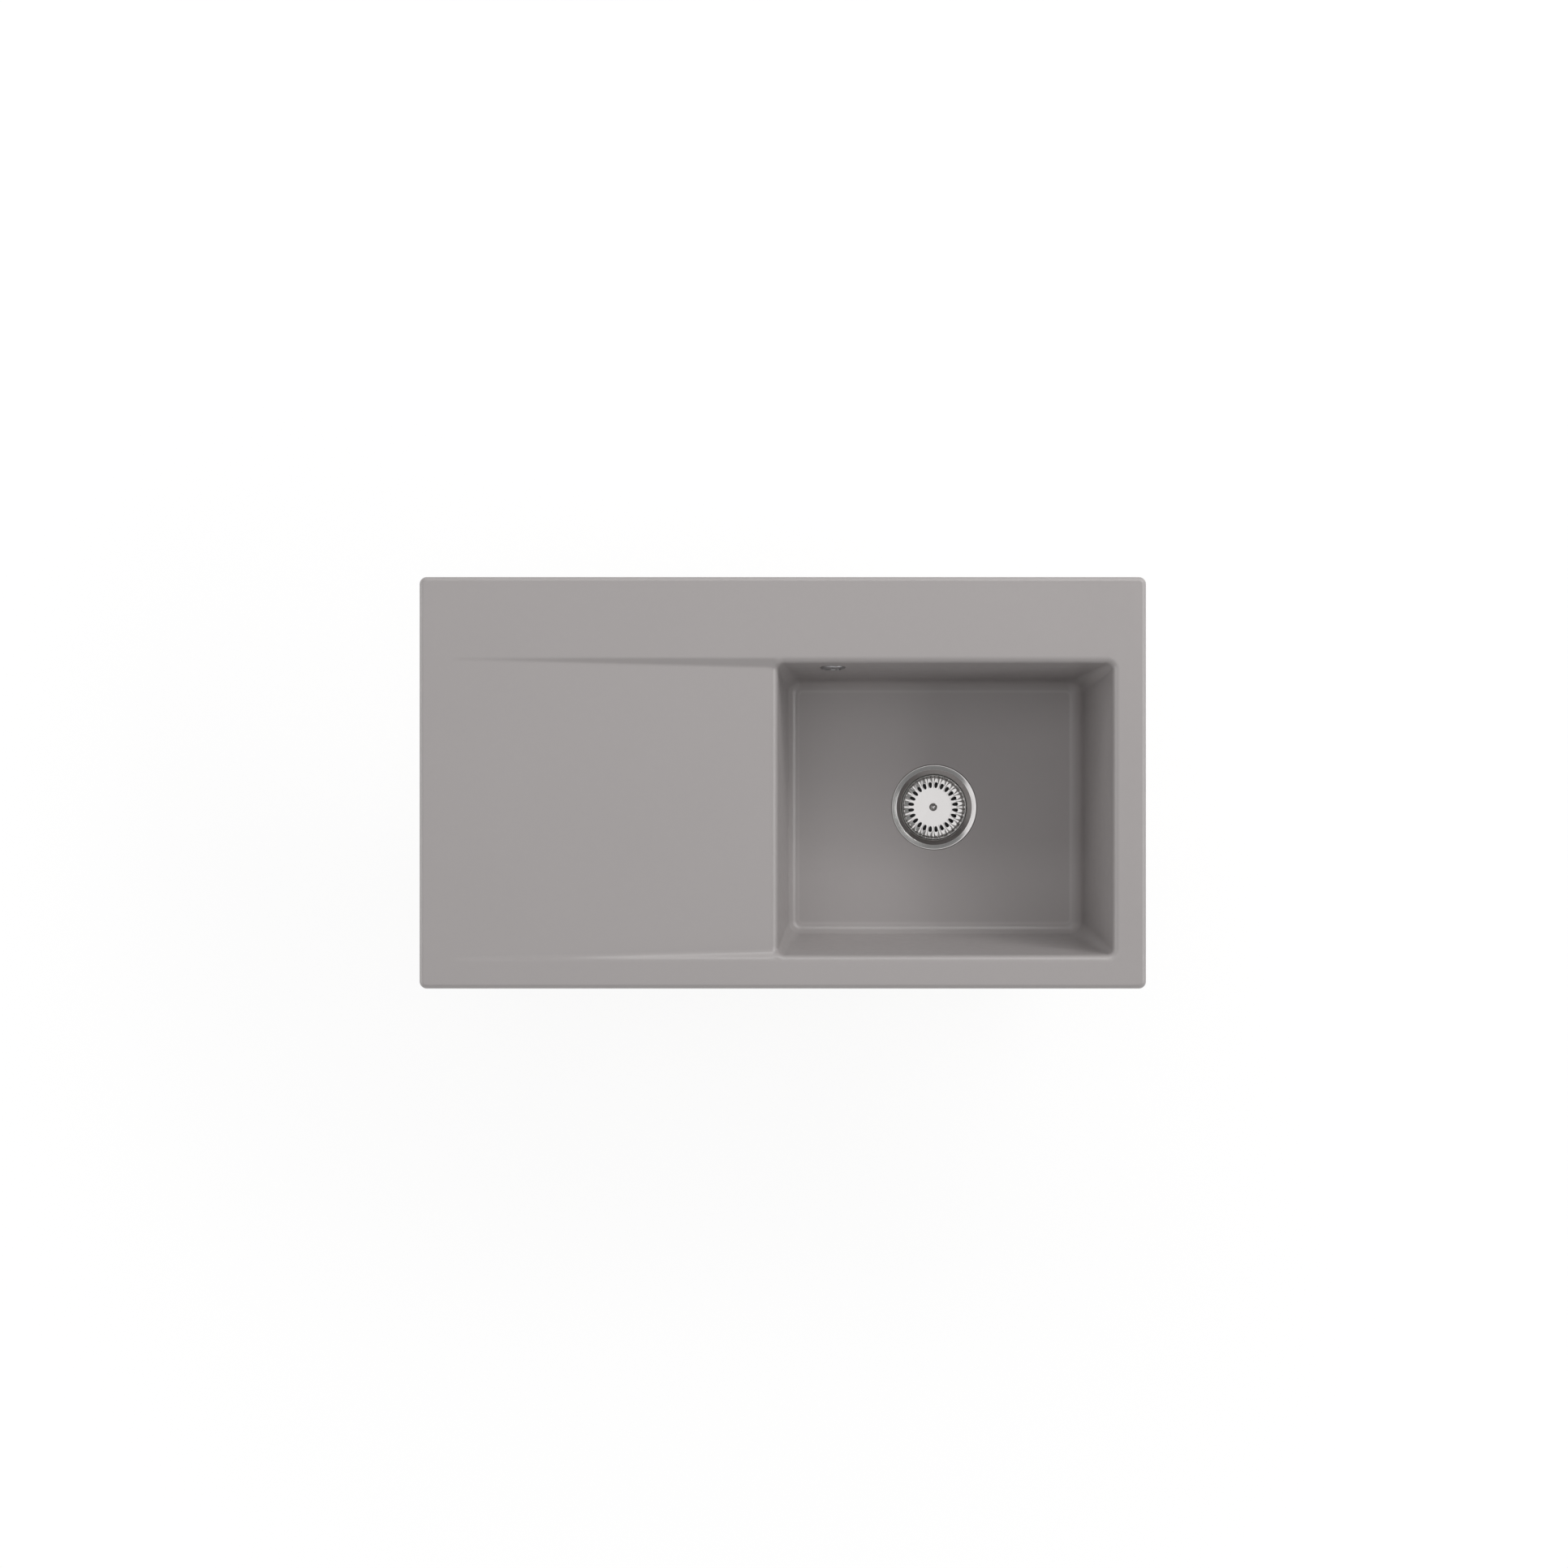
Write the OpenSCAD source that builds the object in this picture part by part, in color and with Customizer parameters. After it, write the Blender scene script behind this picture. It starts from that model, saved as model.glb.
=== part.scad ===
// Inset ceramic kitchen sink: one bowl on the right, a sloping drainer on the
// left, a 90 mm basket strainer waste and an overflow piped into the waste.
// X runs to the right, Y to the back, Z up. The origin is the middle of the
// worktop cut-out, and z = 0 is the underside of the rim, on the worktop.

/* [Rim] */
// Overall width, left to right
sink_w = 900; // [860:5:1000]
// Overall depth, front to back
sink_d = 510; // [500:5:560]
// Height of the rim above the worktop
rim_t = 12; // [11:0.5:18]
// Rounding of the rim's upper outer edge
edge_r = 7; // [3:0.5:8]
// Corner radius of the rim, seen from above
rim_corner_r = 9; // [9:1:20]

/* [Bowl] */
// Width of the bowl at the top of its walls
bowl_w = 415; // [380:5:430]
// Back edge of the rim to the bowl's back wall
ledge = 107; // [95:1:120]
// Front edge of the rim to the bowl's front wall
rim_front = 42; // [38:1:60]
// Right edge of the rim to the bowl's right wall
rim_right = 41; // [38:1:60]
// Top of the rim to the floor at the foot of the walls
bowl_deep = 205; // [180:5:230]
// How far each wall leans in between its top and its foot
wall_lean = 12.2; // [6:0.2:18]
// Rounding where the rim turns down into the bowl
lip_r = 9; // [7:0.5:10]
// Corner radius of the bowl at the top of its walls
bowl_corner_r = 12; // [9:1:24]
// Corner radius of the bowl at the foot of its walls
foot_corner_r = 18; // [18:1:30]
// Fillet between the walls and the floor
foot_r = 16; // [10:1:17]
// Fall of the floor from the walls to the waste
floor_fall = 3; // [2:0.5:6]
// Thickness of the fired clay walls
wall_t = 11; // [9:0.5:13]
// Thickness of the fired clay floor
floor_t = 14; // [12:0.5:16]

/* [Drainer] */
// Left edge of the rim to the start of the slope
rim_left = 40; // [35:1:80]
// Depth of the drainer where it meets the bowl
drainer_drop = 8; // [5:0.5:9]
// Width of the drainer's curved sides where it meets the bowl
drainer_side_w = 27; // [16:1:40]
// How early the curved sides fall away, lower is earlier
side_bend = 0.25; // [0.1:0.05:0.6]

/* [Underside] */
// Overlap of the rim on the worktop, all round
rim_overlap = 10; // [8:1:14]
// Gap between the worktop cut-out and the locating skirt
skirt_gap = 4; // [2:0.5:6]
// Thickness of the locating skirt
skirt_t = 12; // [8:0.5:14]
// Depth of the locating skirt below the rim
skirt_h = 16; // [10:1:24]
// Radius of the tap-hole knock-outs
tap_r = 17.5; // [16:0.5:19]
// Depth of the tap-hole knock-outs, from below
tap_deep = 8; // [6:0.5:9]
// Distance between the two tap-hole knock-outs
tap_spacing = 110; // [90:5:140]
// Back edge of the rim to the middle of the tap holes
tap_in = 50; // [45:1:55]

/* [Waste hole] */
// Radius of the hole in the bowl's floor
waste_hole_r = 46; // [46:0.5:47]
// Depth of the recess that takes the flange
flange_recess = 2.4; // [2:0.1:3]
// Clay left between the flange recess and the flat below
waste_pad_t = 11.6; // [11:0.2:14]
// Radius of the flat round the hole, underneath
waste_pad_r = 66; // [62:1:72]

/* [Strainer flange] */
// Radius of the strainer flange
flange_r = 56.5; // [55:0.5:58]
// Radius at which the flange starts to dish
dish_r = 52.5; // [51:0.5:53]
// Depth of the dished part
dish_deep = 6.5; // [5:0.5:7]
// Inside radius of the strainer cup
cup_r = 42.8; // [42:0.1:43]
// Depth of the strainer cup, from the top of the flange
cup_deep = 40; // [38:0.5:44]
// Thickness of the pressed steel
steel_t = 1.2; // [0.8:0.1:1.4]
// Number of outlet ports in the cup's bottom
ports = 6; // [4:1:7]
// Radius of each outlet port
port_r = 8; // [6:0.5:8.5]
// Radius of the ring on which the ports lie
port_ring_r = 22; // [21:0.5:23]

/* [Basket] */
// Depth of the basket's floor below the flange
basket_deep = 20; // [17:0.5:22]
// Radius of the basket's rolled rim
basket_rim_r = 41.6; // [40:0.2:41.6]
// Depth of the basket's rim below the flange
basket_rim_deep = 6; // [5:0.5:8]
// Radius of the basket's flat floor
basket_floor_r = 33; // [32:0.5:34.5]
// Thickness of the basket's steel
basket_t = 0.9; // [0.6:0.1:1.2]
// Number of slots round the basket
slots = 24; // [16:1:28]
// Width of each slot
slot_w = 4.2; // [3:0.1:4.6]
// Radius at which the slots start
slot_in_r = 28; // [27:0.5:30]
// Radius at which the slots end
slot_out_r = 31; // [30.5:0.5:36]
// Height of the basket's knob above its floor
knob_h = 14.5; // [10:0.5:16]
// Radius of the knob's foot
knob_foot_r = 5.2; // [4.5:0.1:7]
// Radius of the knob's head
knob_top_r = 3.1; // [2.8:0.1:4.4]

/* [Stopper] */
// Radius of the stopper's rubber seal
stopper_seal_r = 36.5; // [34:0.5:38]
// Radius of the stopper's carrier plate
carrier_r = 33; // [30:0.5:33]
// Thickness of the carrier plate
carrier_t = 3; // [2:0.5:4]
// Radius of the pin that drops into the clamp screw
pin_r = 3; // [2.6:0.1:3]
// Length of that pin below the carrier plate
pin_l = 17; // [14:0.5:20]

/* [Waste body] */
// Thickness of the rubber seal under the sink
waste_seal_t = 3; // [2:0.5:4]
// Radius of the waste body's top flange
body_flange_r = 60; // [58:0.5:61]
// Inside radius of the waste body
body_r = 49; // [48:0.5:50]
// Wall of the waste body
body_t = 3; // [2.5:0.5:4]
// Radius of the outlet over its thread, 1 1/2 inch
outlet_r = 23.9; // [23.9:0.1:24.5]
// Inside radius of the outlet
outlet_bore_r = 20.5; // [18:0.5:21]
// Length of the threaded outlet
outlet_l = 22; // [18:1:30]
// Radius of the clamp screw's shank
screw_r = 5; // [4.8:0.1:5.4]
// Radius of the clamp screw's head
screw_head_r = 8; // [7.5:0.5:9]

/* [Overflow] */
// Left wall of the bowl to the middle of the overflow
overflow_in = 69; // [60:1:120]
// Top of the rim to the middle of the overflow
overflow_drop = 50; // [46:1:58]
// Radius of the overflow's cover
cover_r = 16; // [15.5:0.5:17]
// How far the cover stands proud of the wall
cover_proud = 3; // [2.4:0.2:4]
// Radius of the overflow hole in the wall
overflow_hole_r = 14; // [13.5:0.5:14.5]
// Outside radius of the overflow pipe
pipe_r = 11; // [10:0.5:11.5]
// Wall of the overflow pipe
pipe_t = 2; // [1.5:0.5:2.5]
// Radius of the pipe's bend, on its centre line
bend_r = 30; // [24:1:40]
// Radius over the points of the pipe nuts
nut_r = 19; // [18.5:0.5:20]

/* [Fits] */
// Gap between pieces of different moving groups
move_gap = 0.3; // [0.25:0.05:0.5]
// Radial gap of the knob's stem in the stopper
stem_gap = 0.05; // [0.02:0.01:0.08]
// Radial gap of threads and plugged-in pipes
thread_gap = 0.1; // [0.05:0.05:0.2]

/* [Hidden] */
$fn = 72;

clay = [0.64, 0.63, 0.62];
steel = [0.80, 0.80, 0.79];
chrome = [0.87, 0.87, 0.88];
white_plastic = [0.90, 0.90, 0.88];
grey_plastic = [0.55, 0.56, 0.57];
black_plastic = [0.16, 0.16, 0.17];
black_rubber = [0.12, 0.12, 0.12];
red_fibre = [0.55, 0.22, 0.16];
yellow_brass = [0.80, 0.65, 0.32];

// A little more than nothing, so that a cut runs past the face it opens
past = 1;

// Bowl: depth, middle, and the levels of its walls and floor
bowl_d = sink_d - ledge - rim_front;
bowl_x = sink_w / 2 - rim_right - bowl_w / 2;
bowl_y = rim_front + bowl_d / 2 - sink_d / 2;
floor_z = rim_t - bowl_deep;
wall_top_z = rim_t - lip_r;
wall_foot_z = floor_z + foot_r;
lean_a = atan(wall_lean / (wall_top_z - wall_foot_z));
drain_z = floor_z - floor_fall;
// Radius at which the floor starts to fall, just inside the walls' fillet
fall_r = min(bowl_w, bowl_d) / 2 - wall_lean - foot_r - 2;

// Steps in which the moulded corners, the lip and the fillet turn
corner_steps = 10;
round_steps = 6;

// Drainer: its two ends, and how far past the bowl's corners its curved sides
// still reach along the bowl's left side
drainer_x0 = rim_left - sink_w / 2;
drainer_x1 = bowl_x - bowl_w / 2;
side_reach = max(4, drainer_side_w - bowl_corner_r - lip_r);

// How far rubber seals stay in from the edges of what they seal
seal_inset = 0.6;

// Waste: levels counted down from the recess that takes the flange
recess_z = drain_z - flange_recess;
pad_z = recess_z - waste_pad_t;
flange_z = recess_z + 2 * steel_t;
cup_out_r = cup_r + steel_t;
cup_floor_z = flange_z - cup_deep;
cup_under_z = cup_floor_z - steel_t;
// Gap round the flange in its recess
flange_room = 0.8;
recess_r = flange_r + flange_room;
// Slope of the dish, and the radii at which the flange's underside and the
// seal's underside turn down into it
dish_slope = dish_deep / (dish_r - cup_out_r);
bend_in = 0.4;
turn_r = dish_r - bend_in;
seat_turn_r = turn_r - bend_in;

// Clamp screw, its washer and its insert
clamp_washer_t = 1;
screw_head_h = 5;
screw_l = 28;
screw_bore_deep = 21;
screw_top_z = cup_floor_z + clamp_washer_t + screw_head_h;
screw_hole_r = screw_r + thread_gap;
pin_bore_r = pin_r + move_gap;
insert_l = 16;
insert_t = 1.8;
insert_drop = 1;
insert_r = screw_r + insert_t;
insert_z = cup_under_z - insert_drop - insert_l;
boss_t = 2.4;
boss_r = insert_r + boss_t;
boss_l = 21;
boss_z = cup_under_z - boss_l;
// Gap round the screw's end below the insert
screw_end_room = 1;

// Waste body
body_top_z = pad_z - waste_seal_t;
body_flange_t = 5;
body_wall_l = 37;
body_cone_l = 20;
body_wall_z = body_top_z - body_wall_l;
outlet_top_z = body_wall_z - body_cone_l;
outlet_z = outlet_top_z - outlet_l;
outlet_shoulder = 3;
body_out_r = body_r + body_t;
rib_t = 3;

// Stopper, counted up from the cup's floor
screw_top_room = 0.6;
seal_z = cup_floor_z + move_gap;
carrier_z = screw_top_z + screw_top_room;
carrier_top_z = carrier_z + carrier_t;
seal_in_r = 14;
seal_edge_t = 2;
seal_edge_taper = 0.5;
basket_z = flange_z - basket_deep;
hub_z = basket_z - basket_t - move_gap;
hub_r = 9;
carrier_ribs = 6;
carrier_rib_t = 2;
carrier_rib_h = 3;
carrier_rib_in = 4;
stem_r = 2.5;
stem_end_gap = 0.5;
// Spring ring in a groove round the pin
ring_wire_r = 0.5;
ring_seat_gap = 0.05;
ring_mid_r = pin_bore_r - thread_gap - ring_wire_r;
ring_z = carrier_z - 0.65 * pin_l;

// Basket's rolled rim, and the bend between its floor and its sides
basket_roll_w = 2.6;
basket_roll_h = 2.2;
basket_bend_w = 1.5;
basket_bend_h = 0.5;
knob_foot_t = 1.2;
knob_flare = 1.4;
knob_waist = 0.7;
knob_head_h = 3.8;
knob_round = 0.8;

// Overflow, on the leaning back wall
overflow_x = drainer_x1 + overflow_in;
overflow_z = rim_t - overflow_drop;
overflow_y = bowl_y + bowl_d / 2 - (wall_top_z - overflow_z) * tan(lean_a);
cover_seal_t = 0.8;
cover_holes = 6;
cover_hole_r = 2.7;
cover_ring_r = 9;
overflow_screw_r = 2.4;
overflow_screw_l = 19;
screw_dome_h = 1.6;
screw_dome_r = 4.4;
screw_dome_edge = 1;
screw_slot_w = 1;
screw_slot_deep = 0.9;
// The wall seal stands this clear of the clay, so that the two never overlap
wall_seal_gap = 0.05;
wall_seal_t = 3;
head_flange_t = 3;
head_flange_r = 22;
head_r = 17;
head_t = 2.5;
head_l = 32;
head_front = wall_t + wall_seal_gap + wall_seal_t;
head_back = head_front + head_flange_t;
spigot_gap = 1;
spigot_z = wall_t / 2;
spigot_r = overflow_hole_r - spigot_gap;
bridge_t = 3;
bridge_l = 8;
screw_boss_r = 5;

// Pipe from the overflow to the waste, in plain sockets with nuts
socket_r = pipe_r + thread_gap;
socket_t = 2.8;
socket_out_r = socket_r + socket_t;
socket_l = 40;
socket_z = overflow_z - socket_l;
plug_l = 14;
pipe_x = overflow_x;
pipe_y = overflow_y + (head_back + head_l / 2) * cos(lean_a);
port_drop = 22;
port_l = 26;
port_z = body_top_z - port_drop;
port_end = body_r + port_l;
// Inner end of the port's bore, in the open space round the boss
port_start = boss_r + 8;
port_a = atan2(pipe_y - bowl_y, pipe_x - bowl_x);
pipe_run = norm([pipe_x - bowl_x, pipe_y - bowl_y]);
nut_l = 15;
nut_shoulder = 4;
washer_t = 3;

// One corner of a rounded rectangle at one height, corner 0 at +X +Y
function corner(q, hw, hd, r, z) = [
  for (i = [0:corner_steps])
    let (
      a = 90 * (q + i / corner_steps),
      x = (q == 0 || q == 3 ? 1 : -1) * (hw - r),
      y = (q < 2 ? 1 : -1) * (hd - r)
    )
    [bowl_x + x + r * cos(a), bowl_y + y + r * sin(a), z]
];

// A rounded rectangle at one height, anticlockwise from above, with two more
// points by each end of its left side for the drainer's curved sides
function ring(hw, hd, r, z) =
  let (y = hd - r)
  concat(
    corner(0, hw, hd, r, z),
    corner(1, hw, hd, r, z),
    [for (in = [0.5, 1]) [bowl_x - hw, bowl_y + y - side_reach * in, z]],
    [for (in = [1, 0.5]) [bowl_x - hw, bowl_y - y + side_reach * in, z]],
    corner(2, hw, hd, r, z),
    corner(3, hw, hd, r, z)
  );

// Faces between two closed loops of points, the lower one given first
function band(low, high) = [
  for (i = [0:len(low) - 1])
    let (j = (i + 1) % len(low))
    each [[low[i], high[i], high[j]], [low[i], high[j], low[j]]]
];

function turned(list) = [for (i = [len(list) - 1:-1:0]) list[i]];

// A closed solid through a list of rings, from the lowest to the highest
module loft(rings) {
  n = len(rings[0]);
  loop = [for (k = [0:len(rings) - 1]) [for (i = [0:n - 1]) k * n + i]];
  polyhedron(
    points = [for (r = rings) each r],
    faces = concat(
      [loop[0]],
      [turned(loop[len(loop) - 1])],
      [for (k = [1:len(loop) - 1]) each band(loop[k - 1], loop[k])]
    )
  );
}

// Height of the drainer's curved side, as a share of its depth, from its
// upper edge (0) to its foot (1)
function side_curve(u) = u * u / (u * u + side_bend * pow(1 - u, 3));

// Height of the rim and drainer at the bowl's edge. The drainer's depth and the
// width of its curved sides both grow evenly towards the bowl.
function top_z(p) =
  let (
    share = (p[0] - drainer_x0) / (drainer_x1 - drainer_x0),
    in = bowl_d / 2 + lip_r - abs(p[1] - bowl_y)
  )
  p[0] > drainer_x1 + bowl_corner_r ? rim_t :
  rim_t - share * drainer_drop * side_curve(min(1, max(0, in / (share * drainer_side_w))));

// One ring of the bowl's lip, turned a degrees from the wall towards the rim
function lip_ring(a) =
  let (
    out = lip_r * (1 - cos(a)),
    edge = ring(bowl_w / 2 + lip_r, bowl_d / 2 + lip_r, bowl_corner_r + lip_r, 0),
    here = ring(bowl_w / 2 + out, bowl_d / 2 + out, bowl_corner_r + out, 0)
  )
  [for (i = [0:len(here) - 1])
    [here[i][0], here[i][1], top_z(edge[i]) - lip_r * (1 - sin(a))]];

// One ring of the fillet at the foot of the walls, a degrees up from the floor.
// Where the fillet ends, the wall stands in from the bowl's outline by wall_in.
function foot_ring(a, fillet_r, wall_in, corner, z) =
  let (turn = 1 - sin(a), in = wall_in + fillet_r * turn)
  ring(bowl_w / 2 - in, bowl_d / 2 - in, corner - foot_r * turn, z + fillet_r * (1 - cos(a)));

// The space inside the bowl and above the drainer, as one solid: rings from the
// flat floor to the lip, then straight rows from the lip to the drainer's start
module basin_hollow() {
  foot = [for (k = [0:round_steps])
    foot_ring(90 * k / round_steps, foot_r, wall_lean, foot_corner_r, floor_z)];
  lip = [for (k = [0:round_steps]) lip_ring(90 * k / round_steps)];
  rings = concat(foot, lip);
  n = len(rings[0]);
  loop = [for (k = [0:len(rings) - 1]) [for (i = [0:n - 1]) k * n + i]];
  edge = loop[len(loop) - 1];
  // The drainer takes the ring's points from one end of its left side to the other
  back = corner_steps + 1;
  front = 3 * corner_steps + 6;
  rows = corner_steps + 2;
  half = bowl_d / 2 + lip_r;
  start = [for (y = [half, -half]) [drainer_x0, bowl_y + y, rim_t]];
  start_back = n * len(rings);
  start_front = start_back + 1;
  // Outline at the rim's level, and its copy above the rim
  outline = concat(
    [for (i = [front:n - 1]) edge[i]],
    [for (i = [0:back]) edge[i]],
    [start_back, start_front]
  );
  points = concat([for (r = rings) each r], start);
  above = [for (i = [0:len(outline) - 1]) len(points) + i];
  polyhedron(
    points = concat(points, [for (i = outline) [points[i][0], points[i][1], rim_t + past]]),
    faces = concat(
      [loop[0]],
      [for (k = [1:len(loop) - 1]) each band(loop[k - 1], loop[k])],
      [for (i = [back:back + rows - 1]) [edge[i], start_back, edge[i + 1]]],
      [[edge[back + rows], start_back, start_front, edge[front - rows]]],
      [for (i = [front - rows:front - 1]) [edge[i], start_front, edge[i + 1]]],
      band(outline, above),
      [turned(above)]
    )
  );
}

// The floor's fall to the waste, the flange's recess and coned seat, and the hole
module waste_cut() {
  at_waste() rotate_extrude() polygon([
    [0, pad_z - past],
    [waste_hole_r, pad_z - past],
    [waste_hole_r, seat_z(waste_hole_r)],
    [seat_turn_r, recess_z],
    [recess_r, recess_z],
    [recess_r, drain_z],
    [fall_r, floor_z],
    [fall_r, floor_z + past],
    [0, floor_z + past]
  ]);
}

// How far the outside of a wall stands in from the bowl's outline at a height
function outside_in(z) = (wall_top_z - z) * tan(lean_a) - wall_t / cos(lean_a);

// The outside of the bowl, its walls parallel to the inside, up into the rim
module bowl_outside() {
  under_z = floor_z - floor_t;
  fillet_r = foot_r + wall_t;
  foot = [for (k = [0:round_steps])
    foot_ring(90 * k / round_steps, fillet_r, outside_in(under_z + fillet_r),
      foot_corner_r + wall_t, under_z)];
  top = ring(bowl_w / 2 - outside_in(past), bowl_d / 2 - outside_in(past),
    bowl_corner_r + wall_t, past);
  loft(concat(foot, [top]));
}

// Rim cross-section from its inside to its rounded outer edge
module rim_section(w) {
  square([w, rim_t - edge_r]);
  square([w - edge_r, rim_t]);
  translate([w - edge_r, rim_t - edge_r]) circle(r = edge_r);
}

// The flat slab of the rim, rounded along its upper outer edge
module rim_slab() {
  cx = sink_w / 2 - rim_corner_r;
  cy = sink_d / 2 - rim_corner_r;
  translate([-cx, -cy, 0]) cube([2 * cx, 2 * cy, rim_t]);
  for (s = [0, 1]) rotate(180 * s) {
    translate([cx, cy, 0]) rotate([90, 0, 0])
      linear_extrude(2 * cy) rim_half();
    translate([-cx, cy, 0]) rotate([90, 0, 90])
      linear_extrude(2 * cx) rim_half();
    translate([cx, cy, 0]) rotate_extrude(angle = 90) rim_half();
    translate([-cx, cy, 0]) rotate(90) rotate_extrude(angle = 90) rim_half();
  }
}

module rim_half() {
  intersection() {
    rim_section(rim_corner_r);
    square([rim_corner_r, rim_t]);
  }
}

// A flat rounded rectangle about the origin
module rounded_plate(w, d, r) {
  square([w - 2 * r, d], center = true);
  square([w, d - 2 * r], center = true);
  for (x = [-1, 1], y = [-1, 1])
    translate([x * (w / 2 - r), y * (d / 2 - r)]) circle(r = r);
}

// The skirt that keeps the rim in place in the worktop cut-out
module skirt() {
  out_w = sink_w - 2 * (rim_overlap + skirt_gap);
  out_d = sink_d - 2 * (rim_overlap + skirt_gap);
  corner = 20;
  translate([0, 0, -skirt_h]) linear_extrude(skirt_h + past) difference() {
    rounded_plate(out_w, out_d, corner);
    rounded_plate(out_w - 2 * skirt_t, out_d - 2 * skirt_t, corner - skirt_t / 2);
  }
}

// The clay under the drainer, as thick as the walls
module drainer_belly() {
  half = bowl_d / 2 + wall_t;
  translate([0, bowl_y + half, 0]) rotate([90, 0, 0]) linear_extrude(2 * half)
    polygon([
      [drainer_x0, rim_t - wall_t],
      [drainer_x1, rim_t - wall_t - drainer_drop],
      [drainer_x1, rim_t - wall_t]
    ]);
}

// Puts a shape on the axis of the waste, at the flange's top
module at_waste(z = 0) {
  translate([bowl_x, bowl_y, z]) children();
}

// Puts a shape on the back wall, its Z running out through the wall
module at_overflow(l = 0) {
  translate([overflow_x, overflow_y, overflow_z]) rotate([-90 - lean_a, 0, 0])
    translate([0, 0, l]) children();
}

module tube(r_out, r_in, h) {
  difference() {
    cylinder(r = r_out, h = h);
    translate([0, 0, -past]) cylinder(r = r_in, h = h + 2 * past);
  }
}

// Height of the seal's underside at a radius, and so of the clay below it
function seat_z(r) = recess_z - max(0, (seat_turn_r - r) * dish_slope);

module sink_body() {
  color(clay) difference() {
    union() {
      rim_slab();
      skirt();
      drainer_belly();
      bowl_outside();
      at_waste(pad_z) cylinder(r = waste_pad_r, h = floor_t);
    }
    basin_hollow();
    waste_cut();
    at_overflow(-wall_t) cylinder(r = overflow_hole_r, h = 3 * wall_t);
    for (i = [0, 1]) translate([i * tap_spacing, sink_d / 2 - tap_in, -past])
      cylinder(r = tap_r, h = tap_deep + past);
  }
}

// Rubber seal between the clay and the strainer flange
module flange_seal() {
  top_z = recess_z + steel_t;
  color(black_rubber) at_waste() rotate_extrude() polygon([
    [flange_r - seal_inset, recess_z],
    [seat_turn_r, recess_z],
    [waste_hole_r, seat_z(waste_hole_r)],
    [waste_hole_r, top_z - (turn_r - waste_hole_r) * dish_slope],
    [turn_r, top_z],
    [flange_r - seal_inset, top_z]
  ]);
}

// Pressed steel flange, dish and cup, with ports in its bottom
module strainer_flange() {
  under_z = flange_z - steel_t;
  color(steel) at_waste() difference() {
    rotate_extrude() polygon([
      [flange_r, under_z],
      [flange_r, flange_z - steel_t / 3],
      [flange_r - steel_t / 2, flange_z],
      [dish_r, flange_z],
      [cup_out_r, flange_z - dish_deep],
      [cup_r, flange_z - dish_deep - 2 * steel_t],
      [cup_r, cup_floor_z],
      [0, cup_floor_z],
      [0, cup_under_z],
      [cup_out_r, cup_under_z],
      [cup_out_r, under_z - (turn_r - cup_out_r) * dish_slope],
      [turn_r, under_z]
    ]);
    for (i = [0:ports - 1]) rotate(i * 360 / ports)
      translate([port_ring_r, 0, cup_under_z - past])
        cylinder(r = port_r, h = steel_t + 2 * past);
    translate([0, 0, cup_under_z - past]) cylinder(r = screw_hole_r, h = steel_t + 2 * past);
  }
}

// Fibre washer under the clamp screw's head
module clamp_washer() {
  color(red_fibre) at_waste(cup_floor_z) tube(screw_head_r, screw_hole_r, clamp_washer_t);
}

// Hollow six-sided screw that clamps the flange and the waste body together
module clamp_screw() {
  head_z = screw_top_z - screw_head_h;
  color(steel) at_waste() difference() {
    union() {
      translate([0, 0, head_z]) cylinder(r = screw_head_r, h = screw_head_h, $fn = 6);
      translate([0, 0, head_z - screw_l]) cylinder(r = screw_r, h = screw_l);
    }
    translate([0, 0, screw_top_z - screw_bore_deep])
      cylinder(r = pin_bore_r, h = screw_bore_deep + past);
  }
}

// Brass insert in the waste body that the clamp screw turns into
module clamp_insert() {
  color(yellow_brass) at_waste(insert_z) tube(insert_r - thread_gap, screw_hole_r, insert_l);
}

// Rubber seal between the clay and the waste body
module waste_seal() {
  color(black_rubber) at_waste(body_top_z)
    tube(body_flange_r - seal_inset, waste_hole_r + seal_inset, waste_seal_t);
}

// Outside of the waste body, with the socket of the overflow port
module body_outside() {
  rotate_extrude() polygon([
    [0, body_top_z],
    [body_flange_r, body_top_z],
    [body_flange_r, body_top_z - body_flange_t],
    [body_out_r, body_top_z - body_flange_t - body_t],
    [body_out_r, body_wall_z],
    [outlet_r + outlet_shoulder, outlet_top_z],
    [outlet_r, outlet_top_z],
    [outlet_r, outlet_z],
    [0, outlet_z]
  ]);
  along_port() cylinder(r = socket_out_r, h = port_end);
}

// Space inside the waste body, grown outwards by a given amount
module body_inside(grow) {
  rotate_extrude() polygon([
    [0, body_top_z + past],
    [body_r + grow, body_top_z + past],
    [body_r + grow, body_wall_z],
    [outlet_bore_r + grow, outlet_top_z],
    [outlet_bore_r + grow, outlet_z - past],
    [0, outlet_z - past]
  ]);
}

// Boss for the brass insert, on four ribs that run into the wall
module body_boss() {
  translate([0, 0, boss_z]) cylinder(r = boss_r, h = boss_l);
  intersection() {
    for (a = [45, 135]) rotate(a) translate([-body_out_r, -rib_t / 2, boss_z])
      cube([2 * body_out_r, rib_t, boss_l - past]);
    body_inside(body_t / 2);
  }
}

// Moulded body under the sink, with the outlet and the overflow port
module waste_body() {
  color(white_plastic) at_waste() difference() {
    union() {
      difference() {
        body_outside();
        body_inside(0);
      }
      body_boss();
    }
    translate([0, 0, insert_z]) cylinder(r = insert_r, h = insert_l + insert_drop + past);
    translate([0, 0, boss_z - past]) cylinder(r = screw_r + screw_end_room, h = boss_l);
    along_port() translate([0, 0, port_start]) cylinder(r = socket_r, h = port_end);
  }
}

// Turns a shape so that its Z runs out along the overflow port
module along_port() {
  translate([0, 0, port_z]) rotate([0, 90, port_a]) children();
}

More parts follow.
